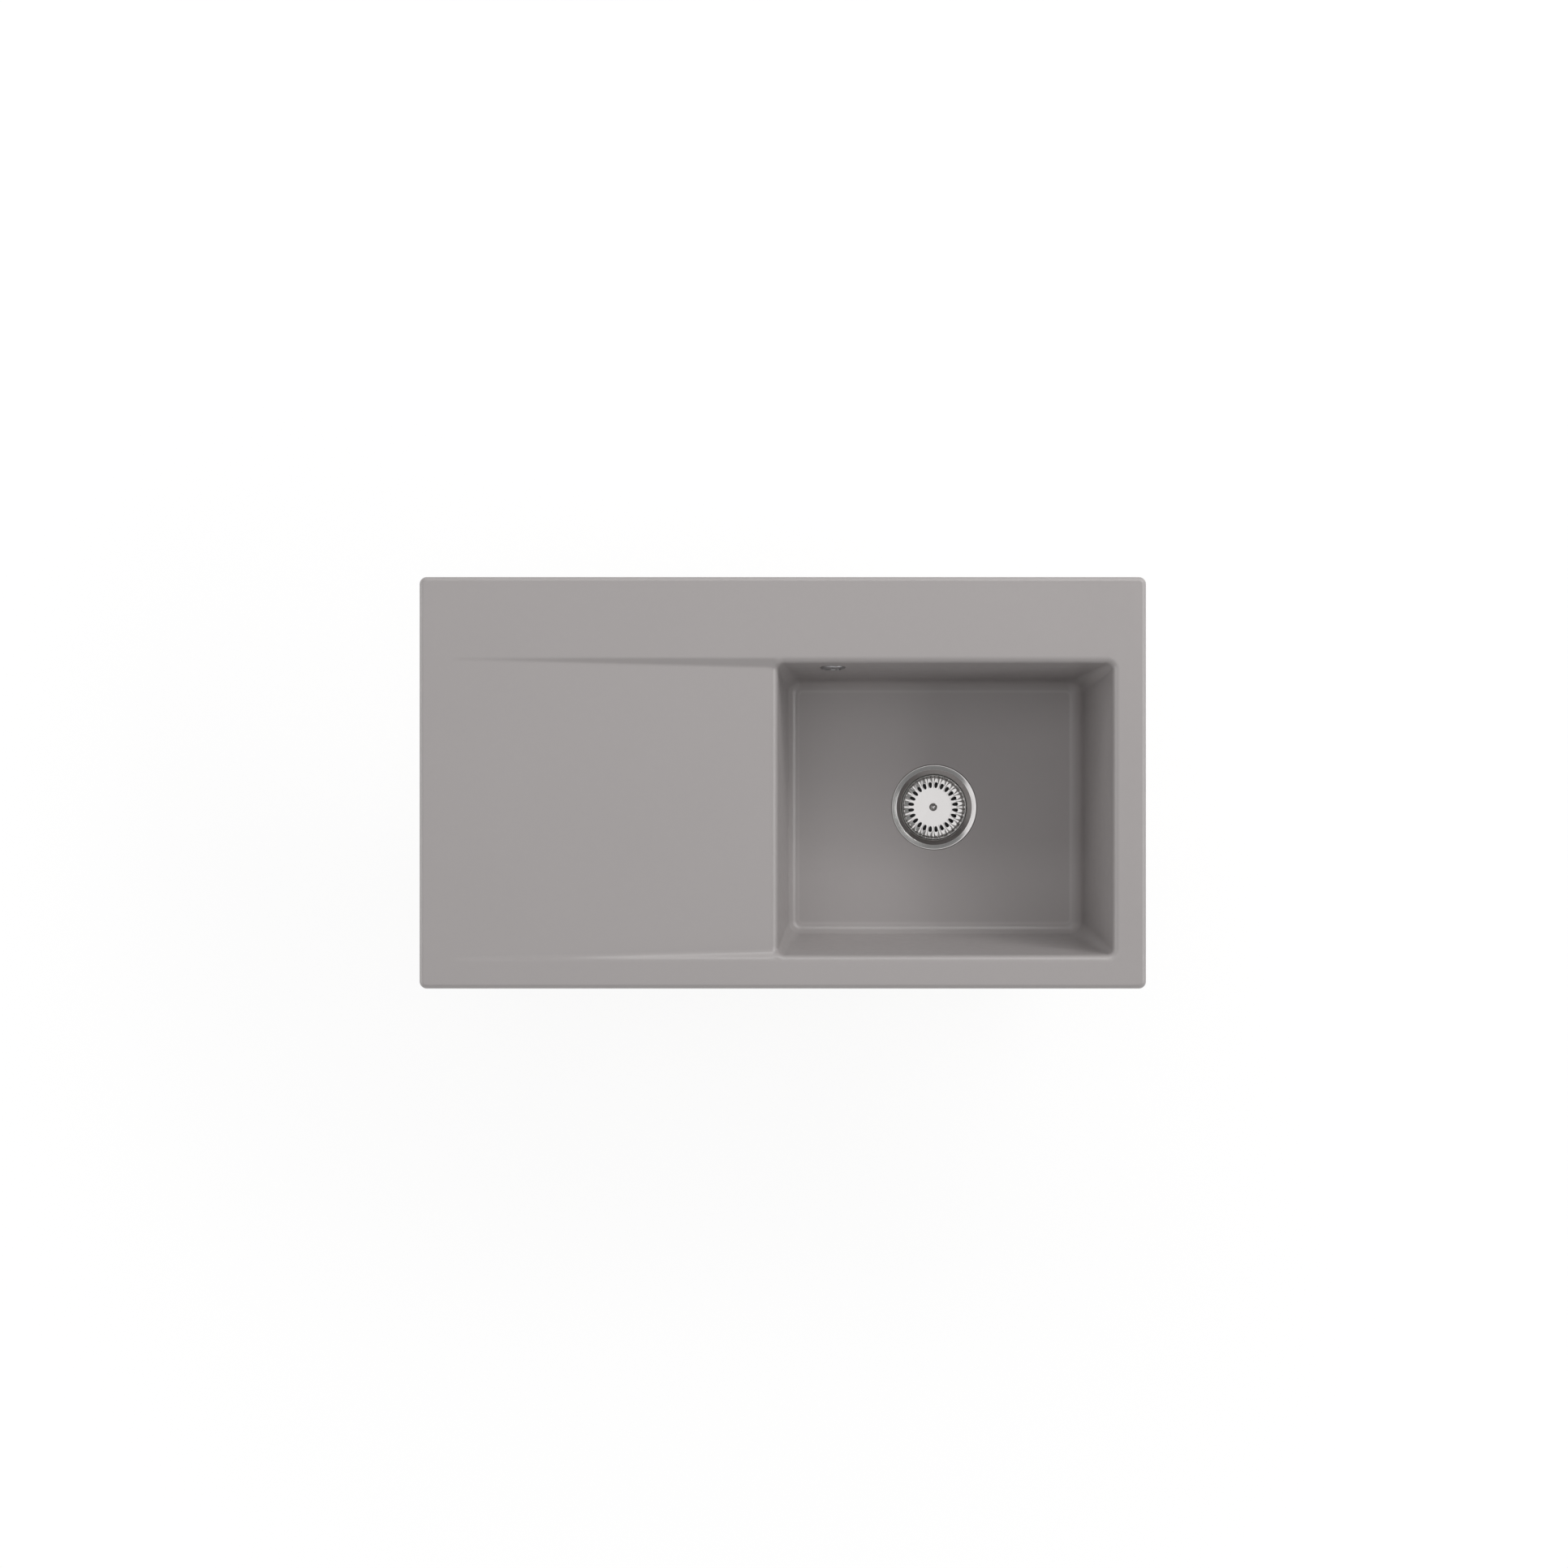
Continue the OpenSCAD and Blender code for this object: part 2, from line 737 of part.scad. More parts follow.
// Perforated steel basket with a flat, slotted floor and steep sides
module basket() {
  t = basket_t;
  z0 = basket_z;
  z1 = flange_z - basket_rim_deep;
  fold_r = basket_rim_r - basket_roll_w;
  side_r = basket_floor_r + basket_bend_w;
  under = z0 - 3 * t;
  color(steel) at_waste() difference() {
    rotate_extrude() polygon([
      [0, z0],
      [basket_floor_r, z0],
      [side_r, z0 + basket_bend_h],
      [fold_r, z1 - t],
      [fold_r + t, z1],
      [basket_rim_r - t / 2, z1],
      [basket_rim_r, z1 - t / 2],
      [basket_rim_r, z1 - basket_roll_h],
      [basket_rim_r - t, z1 - basket_roll_h],
      [basket_rim_r - t, z1 - t],
      [fold_r + 1.4 * t, z1 - t],
      [fold_r + 0.7 * t, z1 - 2 * t],
      [side_r + t / 3, z0 + basket_bend_h - t],
      [basket_floor_r + t / 3, z0 - t],
      [0, z0 - t]
    ]);
    for (i = [0:slots - 1]) rotate((i + 0.5) * 360 / slots)
      translate([0, 0, under]) linear_extrude(basket_deep) {
        translate([slot_in_r, -slot_w / 2]) square([slot_out_r - slot_in_r, slot_w]);
        translate([slot_in_r, 0]) circle(d = slot_w);
        translate([slot_out_r, 0]) circle(d = slot_w);
      }
    translate([0, 0, under]) cylinder(r = stem_r, h = 6 * t);
  }
}

// Turned steel knob, its stem riveted through the basket into the stopper
module basket_knob() {
  z0 = basket_z;
  z1 = basket_z + knob_h;
  flare_z = z0 + knob_foot_t + knob_flare;
  head_z = z1 - knob_head_h;
  waist_r = knob_top_r - knob_waist;
  color(steel) at_waste() rotate_extrude() polygon([
    [0, carrier_top_z],
    [stem_r, carrier_top_z],
    [stem_r, z0],
    [knob_foot_r, z0],
    [knob_foot_r, z0 + knob_foot_t],
    [knob_foot_r - knob_flare, flare_z],
    [waist_r, flare_z + 2 * knob_flare],
    [waist_r, head_z - 2 * knob_waist],
    [knob_top_r, head_z],
    [knob_top_r, z1 - knob_round],
    [knob_top_r - knob_round, z1],
    [0, z1]
  ]);
}

// Plastic carrier under the basket: hub, plate and the pin below it
module stopper_carrier() {
  color(black_plastic) at_waste() difference() {
    union() {
      translate([0, 0, carrier_z]) cylinder(r = carrier_r, h = carrier_t);
      translate([0, 0, carrier_z]) cylinder(r = hub_r, h = hub_z - carrier_z);
      translate([0, 0, carrier_z - pin_l]) cylinder(r = pin_r, h = pin_l + past);
      translate([0, 0, carrier_z - pin_l - pin_r / 2])
        cylinder(r1 = pin_r / 2, r2 = pin_r, h = pin_r / 2);
      for (i = [0:carrier_ribs - 1]) rotate(i * 360 / carrier_ribs)
        translate([hub_r - past, -carrier_rib_t / 2, carrier_top_z - past])
          cube([carrier_r - carrier_rib_in - hub_r, carrier_rib_t, carrier_rib_h + past]);
    }
    translate([0, 0, carrier_top_z - stem_end_gap])
      cylinder(r = stem_r + stem_gap, h = hub_z - carrier_top_z + stem_end_gap + past);
    translate([0, 0, ring_z - ring_wire_r - ring_seat_gap])
      tube(pin_r + past, ring_mid_r - ring_wire_r - ring_seat_gap,
        2 * (ring_wire_r + ring_seat_gap));
  }
}

// Rubber seal that closes the ports in the cup's bottom
module stopper_seal() {
  color(black_rubber) at_waste() rotate_extrude() polygon([
    [seal_in_r, seal_z],
    [stopper_seal_r, seal_z],
    [stopper_seal_r - seal_edge_taper, seal_z + seal_edge_t],
    [carrier_r, carrier_z],
    [seal_in_r, carrier_z]
  ]);
}

// Spring ring on the pin that holds the lifted basket in the screw
module detent_ring() {
  color(black_rubber) at_waste(ring_z) rotate_extrude()
    translate([ring_mid_r, 0]) circle(r = ring_wire_r, $fn = 24);
}

// Round cover over the overflow hole, with a ring of holes
module overflow_cover() {
  t = cover_proud - cover_seal_t;
  color(chrome) at_overflow() difference() {
    rotate_extrude() polygon([
      [0, -cover_seal_t],
      [cover_r, -cover_seal_t],
      [cover_r, -cover_seal_t - t / 2],
      [cover_r - 0.3 * t, -cover_seal_t - 0.86 * t],
      [cover_r - 0.8 * t, -cover_proud],
      [0, -cover_proud]
    ]);
    for (i = [0:cover_holes - 1]) rotate(i * 360 / cover_holes)
      translate([cover_ring_r, 0, -cover_proud - past])
        cylinder(r = cover_hole_r, h = cover_proud + past);
    translate([0, 0, -cover_proud - past])
      cylinder(r = overflow_screw_r + thread_gap, h = cover_proud + past);
  }
}

// Thin seal between the cover and the glaze
module overflow_cover_seal() {
  color(black_rubber) at_overflow(-cover_seal_t)
    tube(cover_r - seal_inset, overflow_hole_r, cover_seal_t);
}

// Domed screw through the cover into the overflow head
module overflow_screw() {
  color(steel) at_overflow(-cover_proud) difference() {
    union() {
      translate([0, 0, -screw_dome_h])
        cylinder(r1 = screw_dome_r - screw_dome_edge, r2 = screw_dome_r, h = screw_dome_h);
      cylinder(r = overflow_screw_r, h = overflow_screw_l);
    }
    translate([-screw_dome_r, -screw_slot_w / 2, -screw_dome_h - past])
      cube([2 * screw_dome_r, screw_slot_w, past + screw_slot_deep]);
  }
}

// Rubber seal between the outside of the bowl and the overflow head
module overflow_wall_seal() {
  color(black_rubber) at_overflow(wall_t + wall_seal_gap)
    tube(head_flange_r - seal_inset, overflow_hole_r + seal_inset, wall_seal_t);
}

// Moulded elbow behind the overflow, with a socket for the pipe below
module overflow_head() {
  color(white_plastic) difference() {
    union() {
      at_overflow(head_front) cylinder(r = head_flange_r, h = head_flange_t);
      at_overflow(head_back) cylinder(r = head_r, h = head_l);
      at_overflow(spigot_z) cylinder(r = spigot_r, h = head_back - spigot_z);
      translate([pipe_x, pipe_y, socket_z]) cylinder(r = socket_out_r, h = socket_l);
    }
    difference() {
      union() {
        at_overflow(head_back) cylinder(r = head_r - head_t, h = head_l - head_t);
        at_overflow(0) cylinder(r = spigot_r - head_t, h = head_back + past);
      }
      // Bridge across the spigot, with a boss for the screw
      at_overflow(spigot_z) cylinder(r = screw_boss_r, h = head_front);
      at_overflow(spigot_z) translate([-spigot_r, -bridge_t / 2, 0])
        cube([2 * spigot_r, bridge_t, bridge_l]);
    }
    translate([pipe_x, pipe_y, socket_z - past]) cylinder(r = socket_r, h = plug_l + past);
    translate([pipe_x, pipe_y, socket_z]) cylinder(r = pipe_r - pipe_t, h = socket_l - pipe_t);
    at_overflow(0) cylinder(r = overflow_screw_r + thread_gap, h = head_back);
  }
}

// Turns a shape so that X runs from the overflow pipe towards the waste
module along_pipe() {
  translate([pipe_x, pipe_y, 0]) rotate(port_a + 180) children();
}

// Solid along the pipe's route: down, round the bend and across to the waste
module pipe_route(r, more) {
  top = socket_z + plug_l;
  end = pipe_run - port_end + plug_l;
  along_pipe() {
    translate([0, 0, port_z + bend_r]) cylinder(r = r, h = top + more - port_z - bend_r);
    translate([bend_r, 0, port_z + bend_r]) rotate([90, 0, 0]) rotate(180)
      rotate_extrude(angle = 90) translate([bend_r, 0]) circle(r = r);
    translate([bend_r, 0, port_z]) rotate([0, 90, 0]) cylinder(r = r, h = end + more - bend_r);
  }
}

module overflow_pipe() {
  color(white_plastic) difference() {
    pipe_route(pipe_r, 0);
    pipe_route(pipe_r - pipe_t, past);
  }
}

// Eight-sided nut, its shoulder at z = 0 and its mouth at the top
module pipe_nut() {
  color(grey_plastic) difference() {
    cylinder(r = nut_r, h = nut_l, $fn = 8);
    translate([0, 0, nut_shoulder]) cylinder(r = socket_out_r + thread_gap, h = nut_l);
    translate([0, 0, -past]) cylinder(r = socket_r, h = nut_l);
  }
}

module pipe_washer() {
  color(black_rubber) tube(socket_out_r, socket_r, washer_t);
}

module overflow_nut_top() {
  translate([pipe_x, pipe_y, socket_z - washer_t - nut_shoulder]) pipe_nut();
}

module overflow_washer_top() {
  translate([pipe_x, pipe_y, socket_z - washer_t]) pipe_washer();
}

module overflow_nut_bottom() {
  along_pipe() translate([pipe_run - port_end - washer_t - nut_shoulder, 0, port_z])
    rotate([0, 90, 0]) pipe_nut();
}

module overflow_washer_bottom() {
  along_pipe() translate([pipe_run - port_end - washer_t, 0, port_z])
    rotate([0, 90, 0]) pipe_washer();
}

sink_body();
flange_seal();
strainer_flange();
clamp_washer();
clamp_screw();
clamp_insert();
waste_seal();
waste_body();
basket();
basket_knob();
stopper_carrier();
stopper_seal();
detent_ring();
overflow_cover();
overflow_cover_seal();
overflow_screw();
overflow_wall_seal();
overflow_head();
overflow_pipe();
overflow_nut_top();
overflow_washer_top();
overflow_nut_bottom();
overflow_washer_bottom();
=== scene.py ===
"""Inset ceramic kitchen sink with a basket strainer waste and an overflow."""
from math import atan, atan2, cos, pi, radians, sin, tan

import bmesh
import bpy
from mathutils import Matrix, Vector


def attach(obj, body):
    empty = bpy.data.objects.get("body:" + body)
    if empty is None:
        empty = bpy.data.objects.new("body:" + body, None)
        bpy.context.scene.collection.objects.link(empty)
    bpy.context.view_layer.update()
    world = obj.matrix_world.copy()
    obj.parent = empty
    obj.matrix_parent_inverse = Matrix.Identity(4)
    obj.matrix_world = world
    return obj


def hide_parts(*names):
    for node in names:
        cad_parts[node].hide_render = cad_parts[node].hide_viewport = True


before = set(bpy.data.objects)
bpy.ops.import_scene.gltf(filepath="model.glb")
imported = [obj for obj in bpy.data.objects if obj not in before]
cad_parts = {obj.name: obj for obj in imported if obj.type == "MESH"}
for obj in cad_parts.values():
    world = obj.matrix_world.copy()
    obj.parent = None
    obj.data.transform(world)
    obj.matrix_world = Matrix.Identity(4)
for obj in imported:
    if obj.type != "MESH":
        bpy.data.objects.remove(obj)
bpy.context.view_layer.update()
scene = bpy.context.scene

# Pieces are modelled in millimetres and finished in metres
MM = 0.001

# Rim and bowl, as in the part's source
SINK_W, SINK_D, RIM_T = 900, 510, 12
RIM_HALF = (SINK_W / 2, SINK_D / 2)
EDGE_R, RIM_CORNER_R = 7, 9
BOWL = Vector((201.5, -32.5, 0))
HALF_X, HALF_Y = 207.5, 180.5
LIP_R, BOWL_CORNER_R = 9, 8
# The walls lean in by this much over this height
WALL_TOP_Z, WALL_LEAN, WALL_H = 3, 12.2, 180
LEAN = atan(WALL_LEAN / WALL_H)
FOOT_R, FOOT_CORNER_R, FLOOR_Z, DRAIN_Z = 16, 18, -193, -196
WALL_T, FLOOR_T = 11, 14
# Ridge between the foot's fillet and the floor, along which a lighter band is painted into the glaze as a
# highlight
RIDGE_HALF_X, RIDGE_HALF_Y, RIDGE_CORNER_R, RIDGE_W = 181, 154, 7, 6
RIDGE_BELOW_Z = -170
# Drainer
DRAINER_X0, DRAINER_X1, DRAINER_DROP = -410, -6, 8
# Width of its curved sides where it starts and at the bowl
SIDE_START_W, SIDE_W = 7.5, 16.5
# Underside
BELLY_X0, BELLY_DROP = -359.5, 7
SKIRT_HALF, SKIRT_CORNER_R, SKIRT_T, SKIRT_H = (436, 241), 20, 12, 16
TAPS, TAP_R, TAP_DEEP = ((0, 205), (110, 205)), 17.5, 8
# Waste
PAD_Z, PAD_R, HOLE_R = -210, 66, 46
RECESS_Z, RECESS_R, SEAT_TURN_R = -198.4, 56.8, 51.7
DISH_SLOPE = 6.5 / 8.5
FLANGE_Z = -196
BASKET_Z = FLANGE_Z - 20
SLOTS, SLOT_MIDDLE_R, SLOT_HALF_L, SLOT_HALF_W, SLOT_TAPER = 24, 29.6, 3.9, 2.3, 0.35
RIB_HALF_W, RIB_CROWN = 1.3, 0.1
PAD_START_R, PAD_END_R, PAD_ROUND_R, PAD_HALF_W = 33.6, 40.4, 3.2, 2.9
PAD_SLOPE = tan(radians(11))
# Steps round the basket for each slot, and the step where a pad's groove runs
BASKET_STEPS, GROOVE_STEP, GROOVE_DEEP = 20, 7, 0.9
# Overflow: its hole in the bowl's back wall, out through that wall, and its pipe's axis
OVERFLOW_X, OVERFLOW_Z, OVERFLOW_HOLE_R, PIPE_BEHIND = 63, -38, 14, 33.05
OVERFLOW = Vector((OVERFLOW_X, BOWL.y + HALF_Y - (WALL_TOP_Z - OVERFLOW_Z) * tan(LEAN), OVERFLOW_Z))
OUTWARD = Matrix.Translation(OVERFLOW) @ Matrix.Rotation(-pi / 2 - LEAN, 4, "X")
PIPE = Vector((OVERFLOW_X, OVERFLOW.y + PIPE_BEHIND * cos(LEAN), 0))
SOCKET_Z, PORT_Z = -78, -235

CORNER_STEPS, ROUND_STEPS = 14, 12
# Points along each straight side, closer together near the corners
SIDE_SHARES = (0.0053, 0.0107, 0.016, 0.03, 0.08, 0.17, 0.28, 0.4, 0.5,
               0.6, 0.72, 0.83, 0.92, 0.97, 0.984, 0.9893, 0.9947)
QUARTER = CORNER_STEPS + 1 + len(SIDE_SHARES)


# Modelling
def turn_shares():
    """For each point of a ring: where it lies between the corners, from -1 to 1
    both ways, and its direction out from the straight side or corner."""
    corners = [(1, 1), (-1, 1), (-1, -1), (1, -1)]
    shares = []
    for quarter in range(4):
        here, there = corners[quarter], corners[(quarter + 1) % 4]
        for i in range(CORNER_STEPS + 1):
            a = pi / 2 * (quarter + i / CORNER_STEPS)
            shares.append((*here, cos(a), sin(a)))
        a = pi / 2 * (quarter + 1)
        for t in SIDE_SHARES:
            along = [h + (n - h) * t for h, n in zip(here, there)]
            shares.append((*along, cos(a), sin(a)))
    return shares


SHARES = turn_shares()


def rounded(half_x, half_y, radius, z, middle=BOWL):
    """Places of a ring on a rounded rectangle."""
    return [
        Vector((
            middle.x + sx * (half_x - radius) + ux * radius,
            middle.y + sy * (half_y - radius) + uy * radius,
            z,
        ))
        for sx, sy, ux, uy in SHARES
    ]


def round_waste(radius, z):
    """Places of a ring on a circle round the waste, bunched towards the bowl's corners."""
    corner, spread = radians(40.3), radians(24)
    turns = [corner, pi - corner, pi + corner, 2 * pi - corner, 2 * pi + corner]
    places = []
    for quarter in range(4):
        for i in range(CORNER_STEPS + 1):
            places.append(turns[quarter] + spread * (i / CORNER_STEPS - 0.5))
        low, high = turns[quarter] + spread / 2, turns[quarter + 1] - spread / 2
        for i in range(len(SIDE_SHARES)):
            places.append(low + (high - low) * (i + 1) / (len(SIDE_SHARES) + 1))
    return [Vector((BOWL.x + radius * cos(a), BOWL.y + radius * sin(a), z)) for a in places]


def first_ring(bm, places):
    """A closed ring of vertices, put in the given places."""
    ring = bmesh.ops.create_circle(bm, segments=len(places), radius=1)["verts"]
    ring.sort(key=lambda v: (atan2(v.co.y, v.co.x) + 0.001) % (2 * pi))
    for vert, place in zip(ring, places):
        vert.co = place
    return ring


def grow(bm, ring, places, closed=True):
    """Extrudes a ring or row of vertices and puts the new ones in the given places."""
    ends = ring[1:] + ring[:1] if closed else ring[1:]
    edges = [bm.edges.get(pair) for pair in zip(ring, ends)]
    made = bmesh.ops.extrude_edge_only(bm, edges=edges)["geom"]
    new = {item for item in made if isinstance(item, bmesh.types.BMVert)}
    grown = []
    for vert, place in zip(ring, places):
        twin = next(e.other_vert(vert) for e in vert.link_edges if e.other_vert(vert) in new)
        twin.co = place
        grown.append(twin)
    return grown


def between(low, high, share):
    """Places that share of the way from one ring to another."""
    return [a.lerp(b, share) for a, b in zip(low, high)]


def slope_z(place, top, x0, x1, drop, half_y):
    """Height at the bowl's edge of the drainer or its underside, whose depth grows
    evenly from x0 towards the bowl, between two sides with an S-shaped section."""
    side = half_y - abs(place.y - BOWL.y)
    if place.x > BOWL.x or side <= 0:
        return top
    u = min(1, side / SIDE_W)
    return top - (place.x - x0) / (x1 - x0) * drop * u ** 3 * (10 - 15 * u + 6 * u * u)


def draw_out(bm, row, x0, top, half_y, least_y):
    """Straight rows from the bowl's left edge to the start of the slope, the
    curved sides getting narrower on the way, and no further out than least_y."""
    starts = [vert.co.copy() for vert in row]
    ends = []
    for place in starts:
        y = abs(place.y - BOWL.y)
        if half_y - y < SIDE_W:
            y = half_y - (half_y - y) * SIDE_START_W / SIDE_W
        else:
            y *= (half_y - SIDE_START_W) / (half_y - SIDE_W)
        y = min(y, half_y)
        y = BOWL.y + (y if place.y > BOWL.y else -y)
        ends.append(Vector((x0, max(y, least_y), top)))
    for share in (0.004, 0.012, 0.03, 0.08, 0.2, 0.4, 0.6, 0.8, 0.97, 1):
        row = grow(bm, row, between(starts, ends, share), closed=False)


def fill_flat(bm, z):
    """Fills the flat region between the open edges at one height."""
    edges = [
        e for e in bm.edges
        if (e.is_boundary or e.is_wire) and all(abs(v.co.z - z) < 0.001 for v in e.verts)
    ]
    bmesh.ops.triangle_fill(bm, use_beauty=True, edges=edges, normal=(0, 0, 1))


def spun(bm, profile, steps=96, axis=(0, 0, 1)):
    """Spins a profile of (radius, height) points into a closed turned shape."""
    verts = [bm.verts.new((r, 0, z)) for r, z in profile]
    edges = [bm.edges.new(pair) for pair in zip(verts, verts[1:])]
    if profile[0][0] > 0 and profile[-1][0] > 0:
        edges.append(bm.edges.new((verts[-1], verts[0])))
    bmesh.ops.spin(bm, geom=verts + edges, cent=(0, 0, 0), axis=axis, angle=2 * pi,
                   steps=steps, use_merge=True)
    bmesh.ops.remove_doubles(bm, verts=bm.verts, dist=0.0005)
    bmesh.ops.dissolve_degenerate(bm, edges=bm.edges, dist=0.0001)
    bmesh.ops.recalc_face_normals(bm, faces=bm.faces)
    return bm


def soften(bm, width, segments=2, over=35):
    """Rounds the sharp outer edges of a shape."""
    edges = [e for e in bm.edges
             if e.is_manifold and e.is_convex and e.calc_face_angle() > radians(over)]
    bmesh.ops.bevel(bm, geom=edges, offset=width, offset_type="OFFSET", segments=segments,
                    profile=0.5, affect="EDGES", material=-1, clamp_overlap=True)
    return bm


def carve(bm, cutter, way="DIFFERENCE"):
    """Cuts one closed shape out of another, joins the two or keeps what they share."""
    parts = []
    for shape in (bm, cutter):
        bmesh.ops.recalc_face_normals(shape, faces=shape.faces)
        mesh = bpy.data.meshes.new("carving")
        shape.to_mesh(mesh)
        shape.free()
        parts.append(bpy.data.objects.new("carving", mesh))
        scene.collection.objects.link(parts[-1])
    cut = parts[0].modifiers.new("cut", "BOOLEAN")
    cut.operation, cut.solver, cut.object = way, "EXACT", parts[1]
    left = bmesh.new()
    left.from_object(parts[0], bpy.context.evaluated_depsgraph_get())
    for part in parts:
        bpy.data.meshes.remove(part.data)
    return left


def block(bm, low, high, place=Matrix()):
    """A plain box between two corners."""
    low, high = Vector(low), Vector(high)
    size = Matrix.Diagonal((*(high - low), 1))
    bmesh.ops.create_cube(bm, size=1, matrix=place @ Matrix.Translation((low + high) / 2) @ size)


def rod(bm, radius, low, high, segments=48, place=Matrix()):
    """A plain round bar between two heights."""
    lift = Matrix.Translation((0, 0, (low + high) / 2))
    bmesh.ops.create_cone(bm, cap_ends=True, segments=segments, radius1=radius,
                          radius2=radius, depth=high - low, matrix=place @ lift)


def make_piece(name, bm, body, materials, stands_for, place=Matrix(), sharp=38):
    """Finishes a shape as a piece that rides on a body and stands for CAD nodes."""
    bmesh.ops.transform(bm, matrix=Matrix.Scale(MM, 4) @ place, verts=bm.verts)
    bmesh.ops.remove_doubles(bm, verts=bm.verts, dist=1e-6)
    # Points that joining shapes can leave on one face alone
    lone = [vert for vert in bm.verts if len(vert.link_faces) == 1]
    bmesh.ops.dissolve_verts(bm, verts=lone)
    bmesh.ops.recalc_face_normals(bm, faces=bm.faces)
    for edge in bm.edges:
        edge.smooth = not (edge.is_manifold and edge.calc_face_angle() > radians(sharp))
    for face in bm.faces:
        face.smooth = True
    mesh = bpy.data.meshes.new(name)
    bm.to_mesh(mesh)
    bm.free()
    for material in materials:
        mesh.materials.append(material)
    piece = bpy.data.objects.new(name, mesh)
    scene.collection.objects.link(piece)
    even = piece.modifiers.new("even shading", "WEIGHTED_NORMAL")
    even.keep_sharp = True
    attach(piece, body)
    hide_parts(*stands_for)
    return piece


# Materials
def add(tree, kind, settings=None, **inputs):
    """Adds a shader node. Inputs are values, or outputs of other nodes."""
    made = tree.nodes.new(kind)
    for key, value in (settings or {}).items():
        setattr(made, key, value)
    for key, value in inputs.items():
        name = key.replace("_", " ")
        socket = made.inputs[int(key[1:])] if key[0] == "i" and key[1:].isdigit() else made.inputs[name]
        if isinstance(value, bpy.types.NodeSocket):
            tree.links.new(value, socket)
        else:
            socket.default_value = value
    return made


def maths(tree, operation, *values):
    """The output of a maths node."""
    inputs = {f"i{k}": value for k, value in enumerate(values)}
    return add(tree, "ShaderNodeMath", {"operation": operation}, **inputs).outputs[0]


def new_group(name, inputs, outputs):
    """Starts a node group with named sockets."""
    tree = bpy.data.node_groups.new(name, "ShaderNodeTree")
    for way, sockets in (("INPUT", inputs), ("OUTPUT", outputs)):
        for title, kind in sockets:
            tree.interface.new_socket(title, in_out=way, socket_type="NodeSocket" + kind)
    return tree, tree.nodes.new("NodeGroupInput"), tree.nodes.new("NodeGroupOutput")


def finish_group(tree, texture, given, out):
    """Puts out a texture as a height, and as a shade round 1 of the given depth."""
    centred = maths(tree, "SUBTRACT", texture, 0.5)
    shade = maths(tree, "MULTIPLY_ADD", centred, given.outputs["Shade"], 1.0)
    tree.links.new(shade, out.inputs["Shade"])
    tree.links.new(texture, out.inputs["Height"])


def grain_group():
    """Fine unevenness of a surface: a shade round 1 and a height for bump."""
    tree, given, out = new_group(
        "surface grain",
        [("Vector", "Vector"), ("Scale", "Float"), ("Shade", "Float")],
        [("Shade", "Float"), ("Height", "Float")],
    )
    coarse = add(tree, "ShaderNodeTexNoise", Vector=given.outputs["Vector"],
                 Scale=given.outputs["Scale"], Detail=3.0, Roughness=0.55)
    finish_group(tree, coarse.outputs["Fac"], given, out)
    return tree


def turning_group():
    """Fine concentric lines left by spinning or turning round an axis."""
    tree, given, out = new_group(
        "turning lines",
        [("Vector", "Vector"), ("Density", "Float"), ("Shade", "Float")],
        [("Shade", "Float"), ("Height", "Float")],
    )
    split = add(tree, "ShaderNodeSeparateXYZ", Vector=given.outputs["Vector"])
    flat = add(tree, "ShaderNodeCombineXYZ", X=split.outputs["X"], Y=split.outputs["Y"])
    radius = add(tree, "ShaderNodeVectorMath", {"operation": "LENGTH"}, i0=flat.outputs[0])
    rings = add(tree, "ShaderNodeCombineXYZ", X=radius.outputs["Value"], Z=split.outputs["Z"])
    lines = add(tree, "ShaderNodeTexNoise", Vector=rings.outputs[0],
                Scale=given.outputs["Density"], Detail=2.0, Roughness=0.6)
    finish_group(tree, lines.outputs["Fac"], given, out)
    return tree


GRAIN = grain_group()
TURNING = turning_group()


def start_material(name):
    """An empty material, its nodes and the place on the object that they read."""
    made = bpy.data.materials.new(name)
    made.use_nodes = True
    tree = made.node_tree
    tree.nodes.clear()
    where = add(tree, "ShaderNodeTexCoord").outputs["Object"]
    return made, tree, where


def grain(tree, where, scale, shade):
    """The grain group in a material, at a scale and a depth of shade."""
    return add(tree, "ShaderNodeGroup", {"node_tree": GRAIN}, Vector=where, Scale=scale, Shade=shade)


def tinted(tree, colour, *shades):
    """The colour, made lighter and darker by each shade in turn."""
    value = shades[0]
    for shade in shades[1:]:
        value = maths(tree, "MULTIPLY", value, shade)
    return add(tree, "ShaderNodeVectorMath", {"operation": "SCALE"}, i0=colour, Scale=value).outputs[0]


def spread(tree, value, low, high):
    """Maps a texture's usual values, 0.3 to 0.7, to a range."""
    return add(tree, "ShaderNodeMapRange", i0=value, i1=0.3, i2=0.7, i3=low, i4=high).outputs[0]


def smooth_range(tree, value, start, end, low, high):
    """Goes smoothly from low at start to high at end."""
    return add(tree, "ShaderNodeMapRange", {"interpolation_type": "SMOOTHSTEP"}, i0=value, i1=start,
               i2=end, i3=low, i4=high).outputs[0]


def bumped(tree, *layers):
    """One bump over another: each layer is a height and its depth in metres."""
    normal = None
    for height, depth in layers:
        extra = {"Normal": normal} if normal else {}
        bump = add(tree, "ShaderNodeBump", Strength=1.0, Distance=depth, Height=height, **extra)
        normal = bump.outputs[0]
    return normal


def close_material(tree, colour, roughness, normal, **inputs):
    """Puts the surface together from its colour, roughness and normal."""
    shader = add(tree, "ShaderNodeBsdfPrincipled", Base_Color=colour, Roughness=roughness,
                 Normal=normal, **inputs)
    out = tree.nodes.new("ShaderNodeOutputMaterial")
    tree.links.new(shader.outputs[0], out.inputs["Surface"])


